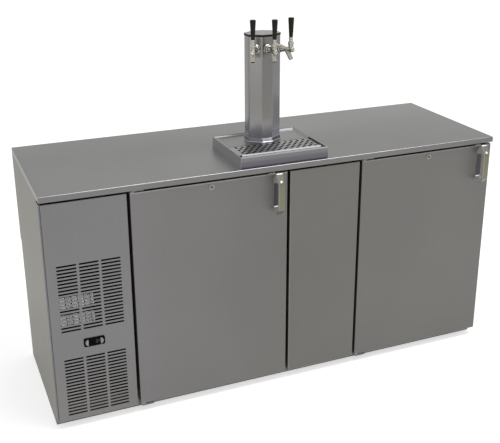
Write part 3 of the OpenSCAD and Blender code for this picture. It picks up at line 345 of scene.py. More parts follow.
class Shader(Tree):
    """A material's tree round one surface."""

    def __init__(self, name):
        super().__init__(bpy.data.materials.new(name))
        self.surface = self.add("ShaderNodeBsdfPrincipled")
        self.join(self.surface, "BSDF", self.add("ShaderNodeOutputMaterial"), "Surface")

    def noise(self, scale, detail=2.0, roughness=0.5, stretch=(1, 1, 1)):
        """Noise on object coordinates, stretched along the axes."""
        place = self.add("ShaderNodeTexCoord")
        spread = self.add("ShaderNodeMapping", {"Scale": stretch})
        texture = self.add("ShaderNodeTexNoise", {"Scale": scale, "Detail": detail, "Roughness": roughness})
        self.join(place, "Object", spread, "Vector")
        self.join(spread, "Vector", texture, "Vector")
        return texture

    def ramp(self, source, output, stops):
        """Colours, or plain factors, at stops from 0 to 1 of a value, with straight runs between them."""
        ramp = self.add("ShaderNodeValToRGB")
        elements = ramp.color_ramp.elements
        while len(elements) < len(stops):
            elements.new(0.5)
        for element, (spot, colour) in zip(elements, stops):
            element.position = spot
            element.color = (*np.broadcast_to(colour, 3), 1)
        self.join(source, output, ramp, "Fac")
        return ramp

    def mottle(self, source, colour, low, high):
        """A colour that goes from low to high times itself with a noise."""
        return self.ramp(source, "Fac", ((0.3, shade(colour, low)), (0.7, shade(colour, high))))

    def times(self, tone, output, factor):
        """One node's colour times a ramp's."""
        both = self.add("ShaderNodeMix", {"Factor": 1.0}, data_type="RGBA", blend_type="MULTIPLY")
        self.join(tone, output, both, "A")
        self.join(factor, "Color", both, "B")
        return both

    def along(self, axis, tone, rows):
        """A tone times the factors that rows set at places along an axis, in metres."""
        place, part = self.add("ShaderNodeTexCoord"), self.add("ShaderNodeSeparateXYZ")
        low, high = rows[0][0], rows[-1][0]
        level = self.add("ShaderNodeMapRange", {"From Min": low, "From Max": high})
        self.join(place, "Object", part, "Vector")
        self.join(part, axis, level, "Value")
        stops = [((spot - low) / (high - low), factor) for spot, factor in rows]
        return self.times(tone, "Result", self.ramp(level, "Result", stops))

    def vary(self, source, low, high, entry):
        """Lets a noise move one of the surface's values between low and high."""
        spread = self.add("ShaderNodeMapRange", {"To Min": low, "To Max": high})
        self.join(source, "Fac", spread, "Value")
        self.join(spread, "Result", self.surface, entry)

    def relief(self, source, strength, depth):
        """Raises the surface by a noise."""
        bump = self.add("ShaderNodeBump", {"Strength": strength, "Distance": depth})
        self.join(source, "Fac", bump, "Height")
        self.join(bump, "Normal", self.surface, "Normal")


def shade(colour, factor):
    """A colour times one factor, or times a factor for each of red, green and blue."""
    return tuple(np.minimum(np.array(colour) * factor, 1.0).tolist())


def brushed(name, colour, grain, roughness=0.36, metallic=0.92, fade=(), sweep=(), glance=(1, 1, 1)):
    """Stainless sheet: fine hairlines along the grain, faint clouds of tone and a soft gloss.

    fade and sweep rows paint light and shade: (place along Z or X in metres, one factor or those of red,
    green and blue there).
    glance tints the gloss seen along the sheet."""
    s = Shader(name)
    hair = s.noise(1.0, 4.0, 0.65, grain)
    cloud = s.noise(2.4)
    streak = s.ramp(hair, "Fac", ((0.25, 0.93), (0.75, 1.07)))
    tone = s.times(s.mottle(cloud, colour, 0.965, 1.035), "Color", streak)
    for axis, rows in (("Z", fade), ("X", sweep)):
        if rows:
            tone = s.along(axis, tone, rows)
    s.join(tone, "Result", s.surface, "Base Color")
    s.put(s.surface, {"Metallic": metallic, "Anisotropic": 0.4, "Specular Tint": (*glance, 1)})
    s.vary(hair, roughness - 0.06, roughness + 0.08, "Roughness")
    s.relief(hair, 0.05, 0.2 * MM)
    return s.owner


def speckled(name, colour, grain, tones, gloss, relief, metallic=0.0):
    """A finish whose tone, gloss and relief all follow one noise.

    grain is the noise's scale, detail and roughness, tones and gloss are the lowest and highest factor of the
    colour and the lowest and highest roughness, and relief is the strength and depth of the bumps."""
    s = Shader(name)
    noise = s.noise(*grain)
    s.join(s.mottle(noise, colour, *tones), "Color", s.surface, "Base Color")
    s.put(s.surface, {"Metallic": metallic})
    s.vary(noise, *gloss, "Roughness")
    s.relief(noise, *relief)
    return s.owner


def sheet_metal(name, colour, roughness=0.45, metallic=0.85):
    """Galvanised or plated sheet: a faint crystal mottle in tone and gloss."""
    gloss = (roughness - 0.1, roughness + 0.1)
    return speckled(name, colour, (60.0, 3.0, 0.7), (0.9, 1.08), gloss, (0.04, 0.2 * MM), metallic)


def plated(name, colour, roughness=0.12):
    """Polished chrome with slight waviness and wear in its gloss."""
    gloss = (roughness - 0.03, roughness + 0.03)
    return speckled(name, colour, (420.0, 2.0, 0.5), (0.97, 1.03), gloss, (0.006, 0.1 * MM), 1.0)


def foam(name, colour):
    """Rigid foam: open cells in tone and relief."""
    return speckled(name, colour, (320.0, 4.0, 0.7), (0.8, 1.05), (0.85, 1.0), (0.6, 0.6 * MM))


def moulded(name, colour, roughness=0.42, grain=900.0, specular=0.35):
    """Moulded plastic or paint: a fine pebble grain and a soft sheen."""
    s = Shader(name)
    pebble, cloud = s.noise(grain), s.noise(25.0)
    s.join(s.mottle(cloud, colour, 0.88, 1.12), "Color", s.surface, "Base Color")
    s.put(s.surface, {"Specular IOR Level": specular})
    s.vary(pebble, roughness - 0.06, roughness + 0.08, "Roughness")
    s.relief(pebble, 0.25, 0.08 * MM)
    return s.owner


def lit_segments(name, colour, strength):
    """Dim display segments: an uneven glow under a slightly worn window."""
    s = Shader(name)
    cell = s.noise(700.0)
    tone = s.mottle(cell, colour, 0.8, 1.2)
    s.join(tone, "Color", s.surface, "Base Color")
    s.join(tone, "Color", s.surface, "Emission Color")
    s.put(s.surface, {"Specular IOR Level": 0.1})
    s.vary(cell, strength * 0.8, strength * 1.2, "Emission Strength")
    s.vary(cell, 0.35, 0.5, "Roughness")
    return s.owner


# Stage


class COOLER_OT_stage(bpy.types.Operator):
    """Camera, floor, room light and lamps"""

    bl_idname = "cooler.stage"
    bl_label = "Stage"

    # Camera: place in metres, angles downwards and about Z, shift of the frame, width of the sensor in mm
    PLACE, DOWN, TURN = (-1.2715, -3.0134, 1.8975), math.radians(19.94), math.radians(-23.0)
    SHIFT, SENSOR, FARTHEST = (-0.018, -0.0639), 36.0, 100.0
    # Lamps: name, place, aim, width and height, and share of the main lamp's power
    LAMPS = (("lamp_over", (1.25, -1.05, 3.9), (1.25, -0.3, 0.9), (3.6, 0.8), 1.0),
             ("lamp_left", (-3.2, -3.6, 0.95), (0, 0, 1.1), (1.4, 1.4), 0.12))
    # Floor: half its width, its drop below the cabinet's feet, its colour and its glow for the camera
    FLOOR_REACH, FLOOR_DROP, FLOOR_COLOUR, FLOOR_GLOW = 30.0, 0.001, (0.86, 0.86, 0.86, 1), 0.56

    def execute(self, context):
        stage = context.scene.cooler_stage
        self.camera(context, stage.lens)
        self.floor(context)
        self.room(context, stage.sky)
        for name, place, aim, size, share in self.LAMPS:
            self.lamp(context, name, place, aim, size, stage.lamp * share)
        context.scene.view_settings.view_transform = "Standard"
        return {"FINISHED"}

    def camera(self, context, lens):
        """The camera at the photograph's viewing angle."""
        camera = bpy.data.cameras.new("camera")
        camera.lens, camera.sensor_width, camera.clip_end = lens, self.SENSOR, self.FARTHEST
        camera.shift_x, camera.shift_y = self.SHIFT
        holder = bpy.data.objects.new("camera", camera)
        holder.location = self.PLACE
        holder.rotation_euler = (math.pi / 2 - self.DOWN, 0, self.TURN)
        context.scene.collection.objects.link(holder)
        context.scene.camera = holder

    def floor(self, context):
        """A wide pale floor that glows a little for the camera and keeps the cabinet's shadow."""
        mesh = bpy.data.meshes.new("floor")
        corner = np.array([[-1, -1], [1, -1], [1, 1], [-1, 1]]) * self.FLOOR_REACH
        mesh.from_pydata(np.c_[corner, np.full(4, -self.FLOOR_DROP)].tolist(), [], [[0, 1, 2, 3]])
        floor = bpy.data.objects.new("floor", mesh)
        context.scene.collection.objects.link(floor)
        s = Shader("pale_floor")
        s.put(s.surface, {"Base Color": self.FLOOR_COLOUR, "Roughness": 0.9, "Specular IOR Level": 0.0,
                          "Emission Color": WHITE})
        gain = s.add("ShaderNodeMath", {1: self.FLOOR_GLOW}, operation="MULTIPLY")
        s.join(s.seen(), 0, gain, 0)
        s.join(gain, 0, s.surface, "Emission Strength")
        mesh.materials.append(s.owner)

    @staticmethod
    def room(context, strength):
        """White to the camera and in reflections, a plain even light elsewhere."""
        context.scene.world = bpy.data.worlds.new("room")
        tree = Tree(context.scene.world)
        plain, white = (tree.add("ShaderNodeBackground", {"Color": WHITE, "Strength": level})
                        for level in (strength, 1.0))
        mix, out = tree.add("ShaderNodeMixShader"), tree.add("ShaderNodeOutputWorld")
        for entry, source in enumerate((tree.seen(), plain, white)):
            tree.join(source, 0, mix, entry)
        tree.join(mix, 0, out, "Surface")

    @staticmethod
    def lamp(context, name, place, aim, size, power):
        """A soft lamp of a width and a height at a place, aimed at a point."""
        light = bpy.data.lights.new(name, "AREA")
        light.shape, light.energy = "RECTANGLE", power
        light.size, light.size_y = size
        holder = bpy.data.objects.new(name, light)
        direction = Vector(aim) - Vector(place)
        holder.location = place
        holder.rotation_euler = direction.to_track_quat("-Z", "Y").to_euler()
        context.scene.collection.objects.link(holder)


# Pieces


class COOLER_OT_cabinet(bpy.types.Operator):
    """Countertop, side and rear panels, base, front frame and the fixed front panels"""

    bl_idname = "cooler.cabinet"
    bl_label = "Cabinet"

    SIDES = ("left_side_panel", "right_side_panel")
    # The black is painted shade on the frame and the bay's parts that show through gaps and slots
    BLACK, FOAM, GALVANISED = (0.012, 0.012, 0.013), (0.72, 0.62, 0.38), (0.42, 0.44, 0.45)
    # Painted shade on the countertop's lip, painted light on the side panels' front hems, and the sides'
    # gloss tint
    LIP_TINT, SIDE_HEM, SIDE_GLANCE = (0.805, 0.795, 0.805), (0.19, 0.186, 0.203), (0.87, 0.855, 0.79)
    # Painted light on the louvred panel and painted shade on the middle one: tints at their foot, between and
    # at their top
    GRILLE = ((1.22, 1.21, 1.22), (1.2, 1.2, 1.25), (1.16, 1.16, 1.23))
    MULLION = ((0.95, 0.94, 0.9), (0.92, 0.91, 0.87), (0.97, 0.96, 0.92))

    def execute(self, context):
        finish = context.scene.cooler_finish
        self.counter(finish)
        self.front(finish)
        self.shell(finish)
        return {"FINISHED"}

    def counter(self, finish):
        """Countertop with painted shade on its top, a painted highlight on its rounded front edge and painted
        shade on the lip below that.
        """
        low, high = node_box("countertop")
        # Painted shade: the countertop's top is darker than its lip
        fade = ((low[2], 0.95), (high[2] - 4 * MM, 0.98), (high[2] - 0.5 * MM, 0.79))
        dress(brushed("counter_steel", finish.counter, GRAIN_X, fade=fade), "countertop")
        rounding = brushed("counter_edge_steel", shade(finish.hem, 0.58), GRAIN_X, 0.34)
        lip = brushed("lip_steel", shade(finish.counter, self.LIP_TINT), GRAIN_X)
        repaint(NODES["countertop"], (rounding, lip), self.front_edge)

    @staticmethod
    def front_edge(normal):
        """Number of a face's finish: 1 painted highlight on the rounded front edge, 2 painted shade on the
        lip below it, else 0.
        """
        return np.select([(normal[:, 1] < -0.5) & (normal[:, 2] > 0.5), normal[:, 1] < -0.9], [1, 2], 0)

    def front(self, finish):
        """Louvred and middle panels with painted light and shade, and painted highlights on their rounded
        edges and down the middle one's left edge.
        """
        foot, top = (corner[2] for corner in node_box("grille_panel"))
        fade = tuple(zip((foot, foot + 0.3, top), self.GRILLE))
        dress(brushed("grille_steel", finish.steel, GRAIN_Z, fade=fade), "grille_panel")
        left, right = (corner[0] for corner in node_box("mullion_panel"))
        fade = tuple(zip((foot, top - 0.4, top), self.MULLION))
        # A painted highlight down the middle panel's left edge
        sweep = ((left, 1.22), (left + 4 * MM, 1.22), (left + 5 * MM, 1.0), (right, 1.0))
        dress(brushed("panel_steel", finish.steel, GRAIN_Z, fade=fade, sweep=sweep), "mullion_panel")
        edge = brushed("edge_steel", finish.hem, GRAIN_X, 0.3)
        for node in ("grille_panel", "mullion_panel"):
            repaint(NODES[node], (edge,), rounded_edges)

    def shell(self, finish):
        """Sides with front hems painted lighter, rear and linings, black painted shade on the frame, the base
        and the bay's parts, the base's sill painted lighter, and insulation with black painted shade on its
        front and top.
        """
        dress(brushed("side_steel", finish.side, GRAIN_Z, glance=self.SIDE_GLANCE), *self.SIDES)
        # Painted light: the side panels' front hems are a lighter steel
        hem = brushed("side_hem_steel", self.SIDE_HEM, GRAIN_Z)
        for node in self.SIDES:
            repaint(NODES[node], (hem,), to_front)
        galvanised = sheet_metal("galvanised_sheet", self.GALVANISED)
        dress(galvanised, "rear_panel", "liner_panels", "evaporator_housing")
        # Painted shade: the frame, base and bay parts are black where the gaps and louvres show shade
        black = moulded("black_paint", self.BLACK, 0.5, specular=0.2)
        dress(black, "front_frame", "base_pan", "unit_shelf", "fan_shroud", "compressor", "fan_motors")
        # Painted light: the base's sill front is a lighter steel
        sill = brushed("sill_steel", shade(finish.steel, 1.4), GRAIN_X, 0.45, 0.6)
        repaint(NODES["base_pan"], (sill,), to_front)
        dress(foam("rigid_foam", self.FOAM), "insulation")
        # Painted shade: the insulation's front and top faces are black
        repaint(NODES["insulation"], (black,), lambda normal: to_front(normal) | (normal[:, 2] > 0.7))


class COOLER_OT_doors(bpy.types.Operator):
    """Door skins, liners, seals, bushings, hinges and locks"""

    bl_idname = "cooler.doors"
    bl_label = "Doors"

    # Section of a door seal: (distance in from its outer edge, distance from the door) in mm
    SEAL = ((3, 0), (3, 1.2), (5, 1.8), (5, 2.4), (0.4, 2.9), (0, 3.4), (0, 4.5), (0.6, 4.9),
            (15.4, 4.9), (16, 4.5), (16, 3.4), (15.6, 2.9), (11, 2.4), (11, 1.8), (13, 1.2), (13, 0))
    # Pressed pan of a liner: rise, depth of its root, corner and inset
    PAN_RISE, PAN_ROOT, PAN_CORNER = 3 * MM, 0.5 * MM, 24 * MM
    PAN_INSET = np.array([62, 0, 62]) * MM
    # Lip of a lower hinge bracket: drop below its plate, depth, overlap with the plate, edge and corner
    LIP_DROP, LIP_DEEP, LIP_OVERLAP = 4.5 * MM, 3 * MM, 0.4 * MM
    LIP_EDGE, LIP_CORNER = 1 * MM, 1.5 * MM
    LINER, RUBBER = (0.5, 0.51, 0.52), (0.01, 0.01, 0.011)
    NYLON, ZINC = (0.7, 0.7, 0.66), (0.14, 0.138, 0.135)
    # Painted reflection on each door's steel at its foot, in its upper part and below its top edge, and a
    # painted highlight along that edge
    TONES = ((1.14, 1.09, 1.08, 1.8), (1.04, 1.075, 1.11, 1.65))
    # Painted reflection: tints of the first door at its left side, between and at its right side, and of the
    # second door
    FIRST, SECOND = ((1.1, 1.09, 1.13), 1.0, (0.93, 0.92, 0.91)), (0.95, 0.94, 0.93)

    def execute(self, context):
        finish = context.scene.cooler_finish
        # Painted highlight on the doors' rounded top and bottom edges
        edge = brushed("door_edge_steel", finish.hem, GRAIN_X, 0.3)
        liner = sheet_metal("door_liner_sheet", self.LINER)
        rubber = moulded("gasket_rubber", self.RUBBER, 0.6, 500.0)
        nylon = moulded("bushing_nylon", self.NYLON, 0.4)
        zinc = sheet_metal("hinge_zinc", self.ZINC, 0.35)
        chrome = plated("lock_chrome", shade(finish.chrome, 0.65))
        # The lock plug is darker chrome, as painted shade for its keyhole
        keyway = plated("lock_plug_chrome", shade(finish.chrome, 0.36))
        for door, skin in zip(("door_1", "door_2"), self.skins(finish)):
            dress(skin, f"{door}_skin")
            repaint(NODES[f"{door}_skin"], (edge,), rounded_edges)
            dress(liner, f"{door}_liner")
            dress(nylon, f"{door}_bushings")
            dress(chrome, f"{door}_lock_body")
            dress(keyway, f"{door}_lock_plug")
            seal = self.seal(*node_box(f"{door}_gasket"))
            make_piece(f"{door}_seal", seal, rubber, door, (f"{door}_gasket",))
            make_piece(f"{door}_liner_pan", self.pan(*node_box(f"{door}_liner")), liner, door)
            lip = self.bracket_lip(*node_box(f"{door}_skin"))
            make_piece(f"{door}_bracket_lip", lip, zinc, "cabinet")
        dress(zinc, "hinge_brackets", "hinge_pins")
        return {"FINISHED"}

    def skins(self, finish):
        """Steel of the two doors, with painted reflection and a top-edge highlight along Z, and on the first
        a painted reflection along X.
        """
        low, high = node_box("door_1_skin")
        foot, top = low[2], high[2]
        places = (foot, top - 0.45, top - 5.5 * MM, top - 4.5 * MM, top)
        first, second = (tuple(zip(places, (*tones, tones[-1]))) for tones in self.TONES)
        sweep = tuple(zip((low[0], low[0] + 0.3, high[0]), self.FIRST))
        return (brushed("door_1_steel", finish.steel, GRAIN_Z, 0.45, fade=first, sweep=sweep),
                brushed("door_2_steel", shade(finish.steel, self.SECOND), GRAIN_Z, 0.45, fade=second))

    def pan(self, low, high):
        """The pressed middle of a door's liner: a low plate on its inner face, inset from its edges."""
        root = np.array([low[0], high[1] - self.PAN_ROOT, low[2]])
        crest = high + np.array([0, self.PAN_RISE, 0])
        return slab(root + self.PAN_INSET, crest - self.PAN_INSET, self.PAN_RISE, self.PAN_CORNER, (0, 1, 0))

    def bracket_lip(self, door_low, door_high):
        """The turned-down front edge of the bracket below a door, from its plate down."""
        points = node_points("hinge_brackets")
        below = (points[:, 0] > door_low[0]) & (points[:, 0] < door_high[0]) & (points[:, 2] < door_low[2])
        low, high = points[below].min(0), points[below].max(0)
        plate = points[below & (points[:, 1] < low[1] + 1 * MM), 2].min()
        return slab((low[0], low[1], plate - self.LIP_DROP),
                    (high[0], low[1] + self.LIP_DEEP, plate + self.LIP_OVERLAP),
                    self.LIP_EDGE, self.LIP_CORNER, (0, -1, 0))

    def seal(self, low, high):
        """A mitred ring: the seal's section as stacked rectangles, each drawn in from its outer edge."""
        corners = np.array([(low[0], -low[2]), (high[0], -low[2]), (high[0], -high[2]), (low[0], -high[2])])
        inward = np.array([(1, -1), (-1, -1), (-1, 1), (1, 1)]) * MM
        rows = ((corners + inward * inset, depth * MM) for inset, depth in self.SEAL)
        return stood(loft(*rows), (0, low[1], 0), (0, 1, 0), (1, 0, 0))


class COOLER_OT_handles(bpy.types.Operator):
    """Bent handles with painted light and shade on their faces, dark back plates of painted shade, screws
    with a painted glint and latch caps painted lighter
    """

    bl_idname = "cooler.handles"
    bl_label = "Door handles"

    # Side view in mm: (distance in front of the door, height over the handle's top, rounding of that corner)
    OUTER = ((0, -23.8, 3), (25, 0, 1.5), (29.5, 0, 0.6), (31.4, -2.4, 0.6), (51, -34, 9), (51, -139, 7),
             (24, -162, 4), (0, -143.6, 3))
    INNER = ((2, -44.2, 2), (27, -37.4, 3), (32, -36, 2), (36, -35, 2), (42, -39, 3.4), (42, -137, 3),
             (24, -137.5, 3), (2, -137.5, 3))
    # Width, widening at the shoulder as a share, the shoulder's height, rise over the door, and the most that
    # an edge's radius takes of the bar's thickness
    WIDTH, FLARE, SHOULDER, RISE, EDGE_SHARE = 23 * MM, 0.12, 34 * MM, 6 * MM, 0.45
    # Distance of each handle from its door's right edge
    EDGES = {"door_1": 35 * MM, "door_2": 43.5 * MM}
    # Plate behind the grip: lowest and highest corner from the handle's upper right corner, edge and rounding
    PLATE = np.array([[-22.4, -2.7, -132.5], [-0.6, -1.9, -45.5]]) * MM
    PLATE_EDGE, PLATE_CORNER = 0.4 * MM, 0.8 * MM
    # Screw head in mm: (radius, height, rounding), its place from that corner, and the shoulder's slope
    SCREW = ((0, 0.9, 0), (1.9, 0.9, 0.3), (2.2, 2.1, 0.4), (3.6, 1.9, 0.8), (5, 0.4, 0.6), (5, -0.6, 0))
    SCREW_PLACE, SLOPE = np.array([-11.5, -46.3, -26.3]) * MM, math.atan2(34, 21)
    # Latch cap: where it starts and ends from the door's edge, its depth, its height, its edge and its corner
    CAP = np.array([75, 51, 18, 3, 1, 1.5]) * MM
    # Painted light and shade by facing: lighter cheeks, shoulder and underside, a painted highlight on the
    # crown, and the screw head near white as a painted glint
    CHEEK, SHOULDER_TINT, CROWN = (0.58, 0.57, 0.59), (0.225, 0.224, 0.195), (0.92, 0.92, 0.92)
    UNDERSIDE, SCREW_TINT = (0.23, 0.228, 0.205), (0.95, 0.95, 0.93)

    def execute(self, context):
        finish = context.scene.cooler_finish
        polish = brushed("handle_polish", finish.handle, GRAIN_Z, 0.3, 0.95)
        others = (brushed("handle_cheek", self.CHEEK, GRAIN_Z, 0.34, 0.6),
                  brushed("handle_shoulder", self.SHOULDER_TINT, GRAIN_X, 0.34),
                  brushed("handle_crown", self.CROWN, GRAIN_X, 0.4),
                  # The handles' edges are brighter, as a painted highlight
                  brushed("handle_edge", shade(finish.handle, 1.6), GRAIN_Z, 0.34),
                  brushed("handle_underside", self.UNDERSIDE, GRAIN_X, 0.34, 0.6))
        # Painted glint: the screw heads are near white
        bright = plated("screw_bright", self.SCREW_TINT, 0.2)
        # Painted shade: the plate behind each grip is dark steel
        dark = brushed("handle_plate_steel", finish.plate, GRAIN_Z, 0.4, 0.9)
        # Painted light: the latch caps are a lighter steel
        steel = brushed("latch_cap_steel", shade(finish.steel, 1.8), GRAIN_X)
        for door, edge in self.EDGES.items():
            low, high = node_box(f"{door}_skin")
            corner = np.array([high[0] - edge, low[1], high[2] + self.RISE])
            bar = self.bar(corner, context.scene.cooler_sizes.handle_edge)
            piece = make_piece(f"{door}_handle_bar", bar, polish, door, (f"{door}_handle",))
            repaint(piece, others, self.facing)
            plate = slab(*(corner + self.PLATE), self.PLATE_EDGE, self.PLATE_CORNER, (0, -1, 0))
            make_piece(f"{door}_handle_plate", plate, dark, door)
            make_piece(f"{door}_handle_screw", self.screw(corner), bright, door)
            make_piece(f"{door}_latch_cap", self.cap(low, high), steel, door)
        return {"FINISHED"}

    @staticmethod
    def facing(normal):
        """Number of a face's painted light: 1 lighter cheeks, 2 shoulder, 3 highlighted top and back, 4
        highlighted edges, 5 lighter underside, else 0.
        """
        x, y, z = normal.T
        kinds = {1: np.abs(x) > 0.9, 3: (z > 0.59) | (y > 0.5), 5: z < -0.3, 4: np.abs(x) > 0.3,
                 2: (z > 0.3) & (y < 0)}
        return np.select(list(kinds.values()), list(kinds), 0)

    def bar(self, corner, edge):
        """Closed bar between the side view's two outlines, across the handle's width, with rounded edges.

        Each section runs round a rectangle: across goes over the width, and depth from the outer outline to
        the inner one, so a point is outer + (inner - outer) / gap * depth. Towards the top the bar widens: x
        grows from the middle by FLARE times the share of the shoulder's height."""
        outer, inner = (rounded_loop(rows[:, :2], rows[:, 2])
                        for rows in (np.array(self.OUTER) * MM, np.array(self.INNER) * MM))
        gap = np.linalg.norm(inner - outer, axis=1)[:, None]
        edge = np.minimum(edge, self.EDGE_SHARE * gap)
        fall, rise = edge * (1 - np.cos(QUARTER)), edge * (1 - np.sin(QUARTER))
        across = np.concatenate([fall - self.WIDTH, -rise, -fall, rise - self.WIDTH], 1)
        depth = np.concatenate([rise, fall, gap - rise, gap - fall], 1)
        place = outer[:, None] + ((inner - outer) / gap)[:, None] * depth[..., None]
        share = np.clip(1 + place[..., 1] / self.SHOULDER, 0, 1)
        across = across + (across + self.WIDTH / 2) * self.FLARE * share
        points = np.concatenate([across[..., None], place], -1).reshape(-1, 3)
        faces = grid_quads(len(outer), across.shape[1], wrap_rows=True, wrap_columns=True)
        return points * [1, -1, 1] + corner, faces

    def screw(self, corner):
        """A domed screw head with a round socket, turned about the shoulder's own normal."""
        axis = (0, -math.sin(self.SLOPE), math.cos(self.SLOPE))
        return stood(lathe(self.SCREW, 10, 32), corner + self.SCREW_PLACE, axis, (1, 0, 0))

    def cap(self, low, high):
        """The small plate of the latch on a door's top edge."""
        start, end, deep, tall, edge, corner = self.CAP
        return slab((high[0] - start, low[1], high[2]), (high[0] - end, low[1] + deep, high[2] + tall),
                    edge, corner, (0, 0, 1))


class COOLER_OT_controller(bpy.types.Operator):
    """Thermostat with its bezel, buttons and dim display"""

    bl_idname = "cooler.controller"
    bl_label = "Controller"

    BEZEL, INLET, BUTTON, GLOW = (0.002, 0.002, 0.0015), (0.012,) * 3, (0.36, 0.36, 0.33), (0.13, 0.13, 0.12)
    # Digits: what they show, place from the bezel's middle, height and half thickness, and from the height
    # their half width, bar, distance from one to the next, and inset of a segment's ends
    SHOWN, PLACE, TALL, THICK = "34", np.array([12.3, 0, 0.6]) * MM, 13 * MM, 0.2 * MM
    SIDE, BAR, PITCH, INSET = 0.27 * TALL, 0.13 * TALL, 0.74 * TALL, 0.04 * TALL
    LIT = {"3": [0, 1, 2, 3, 6], "4": [1, 2, 5, 6]}

    def execute(self, context):
        dress(moulded("bezel_black", self.BEZEL, 0.5, specular=0.04), "controller_housing")
        dress(moulded("inlet_black", self.INLET, 0.4), "power_inlet")
        grey = moulded("button_grey", self.BUTTON, 0.5, specular=0.2)
        dress(grey, "controller_button_left", "controller_button_right")
        low, high = node_box("controller_housing")
        middle = np.array([(low[0] + high[0]) / 2, low[1], (low[2] + high[2]) / 2]) + self.PLACE
        glow = lit_segments("display_glow", self.GLOW, 0.5)
        make_piece("display_digits", self.digits(middle), glow, "cabinet")
        return {"FINISHED"}

    def digits(self, middle):
        """Seven-segment digits as thin blocks: each segment is a box between two corners of its frame."""
        half, side, bar = self.TALL / 2, self.SIDE, self.BAR
        segments = np.array([
            (-side, half - bar, side, half), (side - bar, 0, side, half), (side - bar, -half, side, 0),
            (-side, -half, side, -half + bar), (-side, -half, -side + bar, 0), (-side, 0, -side + bar, half),
            (-side, -bar / 2, side, bar / 2)])
        steps = (np.arange(len(self.SHOWN)) - (len(self.SHOWN) - 1) / 2) * self.PITCH
        lit = np.concatenate([segments[self.LIT[digit]] + np.array([step, 0, step, 0])
                              for digit, step in zip(self.SHOWN, steps)])
        thick = np.full(len(lit), self.THICK)
        low = np.c_[lit[:, 0] + self.INSET, -thick, lit[:, 1] + self.INSET]
        high = np.c_[lit[:, 2] - self.INSET, thick, lit[:, 3] - self.INSET]
        return blocks(low + middle, high + middle)


class COOLER_OT_refrigeration(bpy.types.Operator):
    """Fin coils, fans and lines"""

    bl_idname = "cooler.refrigeration"
    bl_label = "Refrigeration"

    # The condenser lies left of this place along X, and the evaporator right of it
    BAY_END = -0.3
    # Condenser fins: start and end of each tier as shares of its height, lean back for each rise, and depth
    TIERS, LEAN, DEPTH = ((0.25, 0.437), (0.612, 0.789)), 0.45, 26 * MM
    # A fin's share of its pitch, and how many places there are from one gap in a row of fins to the next
    FIN, PERIOD = 0.8, 7
    # Black core behind the fins, as painted shade: insets of its lowest and its highest corner, edge and
    # corner
    CORE_LOW, CORE_HIGH = np.array([1.5, 28, 0.3]) * MM, np.array([1.5, 3, 0.3]) * MM
    CORE_EDGE, CORE_CORNER = 1 * MM, 2 * MM
    ALUMINIUM, BLACK, COPPER = (0.96, 0.96, 1.0), (0.008, 0.008, 0.009), (0.09, 0.05, 0.032)

    def execute(self, context):
        fins = sheet_metal("fin_aluminium", self.ALUMINIUM, 0.2, 1.0)
        # Painted shade: the core behind the fins is black
        black = moulded("coil_black", self.BLACK, 0.6, specular=0.15)
        dress(fins, "condenser_fan", "evaporator_fan")
        dress(sheet_metal("dark_copper", self.COPPER, 0.4, 1.0), "refrigerant_lines")
        pitch = context.scene.cooler_sizes.fin_pitch
        points = node_points("fin_coils")
        in_bay = points[:, 0] < self.BAY_END
        low, high = points[in_bay].min(0), points[in_bay].max(0)
        reach = np.array([high[0], low[1] + self.DEPTH, high[2]])
        packs = [self.pack(low, reach, pitch, *tier, self.LEAN) for tier in self.TIERS]
        packs.append(self.pack(points[~in_bay].min(0), points[~in_bay].max(0), pitch, 0.0, 1.0, 0.0))
        make_piece("fin_packs", joined(*packs), fins, "cabinet", ("fin_coils",))
        core = slab(low + self.CORE_LOW, high - self.CORE_HIGH, self.CORE_EDGE, self.CORE_CORNER, (0, -1, 0))
        make_piece("condenser_core", core, black, "cabinet")
        return {"FINISHED"}

    def pack(self, low, high, pitch, start, end, lean):
        """Upright fins: boxes at every pitch along X, with gaps left, between two shares of the height.

        Each fin's front edge leans back: y grows by lean times the height over the fin's foot."""
        place = np.arange(int((high[0] - low[0]) / pitch))
        left = low[0] + place[place % self.PERIOD != self.PERIOD - 1] * pitch
        foot, head = low[2] + np.array([start, end]) * (high[2] - low[2])
        every = np.ones_like(left)
        points, faces = blocks(np.c_[left, every * low[1], every * foot],
                               np.c_[left + self.FIN * pitch, every * high[1], every * head])
        front = points[:, 1] < low[1] + 0.01 * MM
        points[front, 1] += lean * (points[front, 2] - foot)
        return points, faces


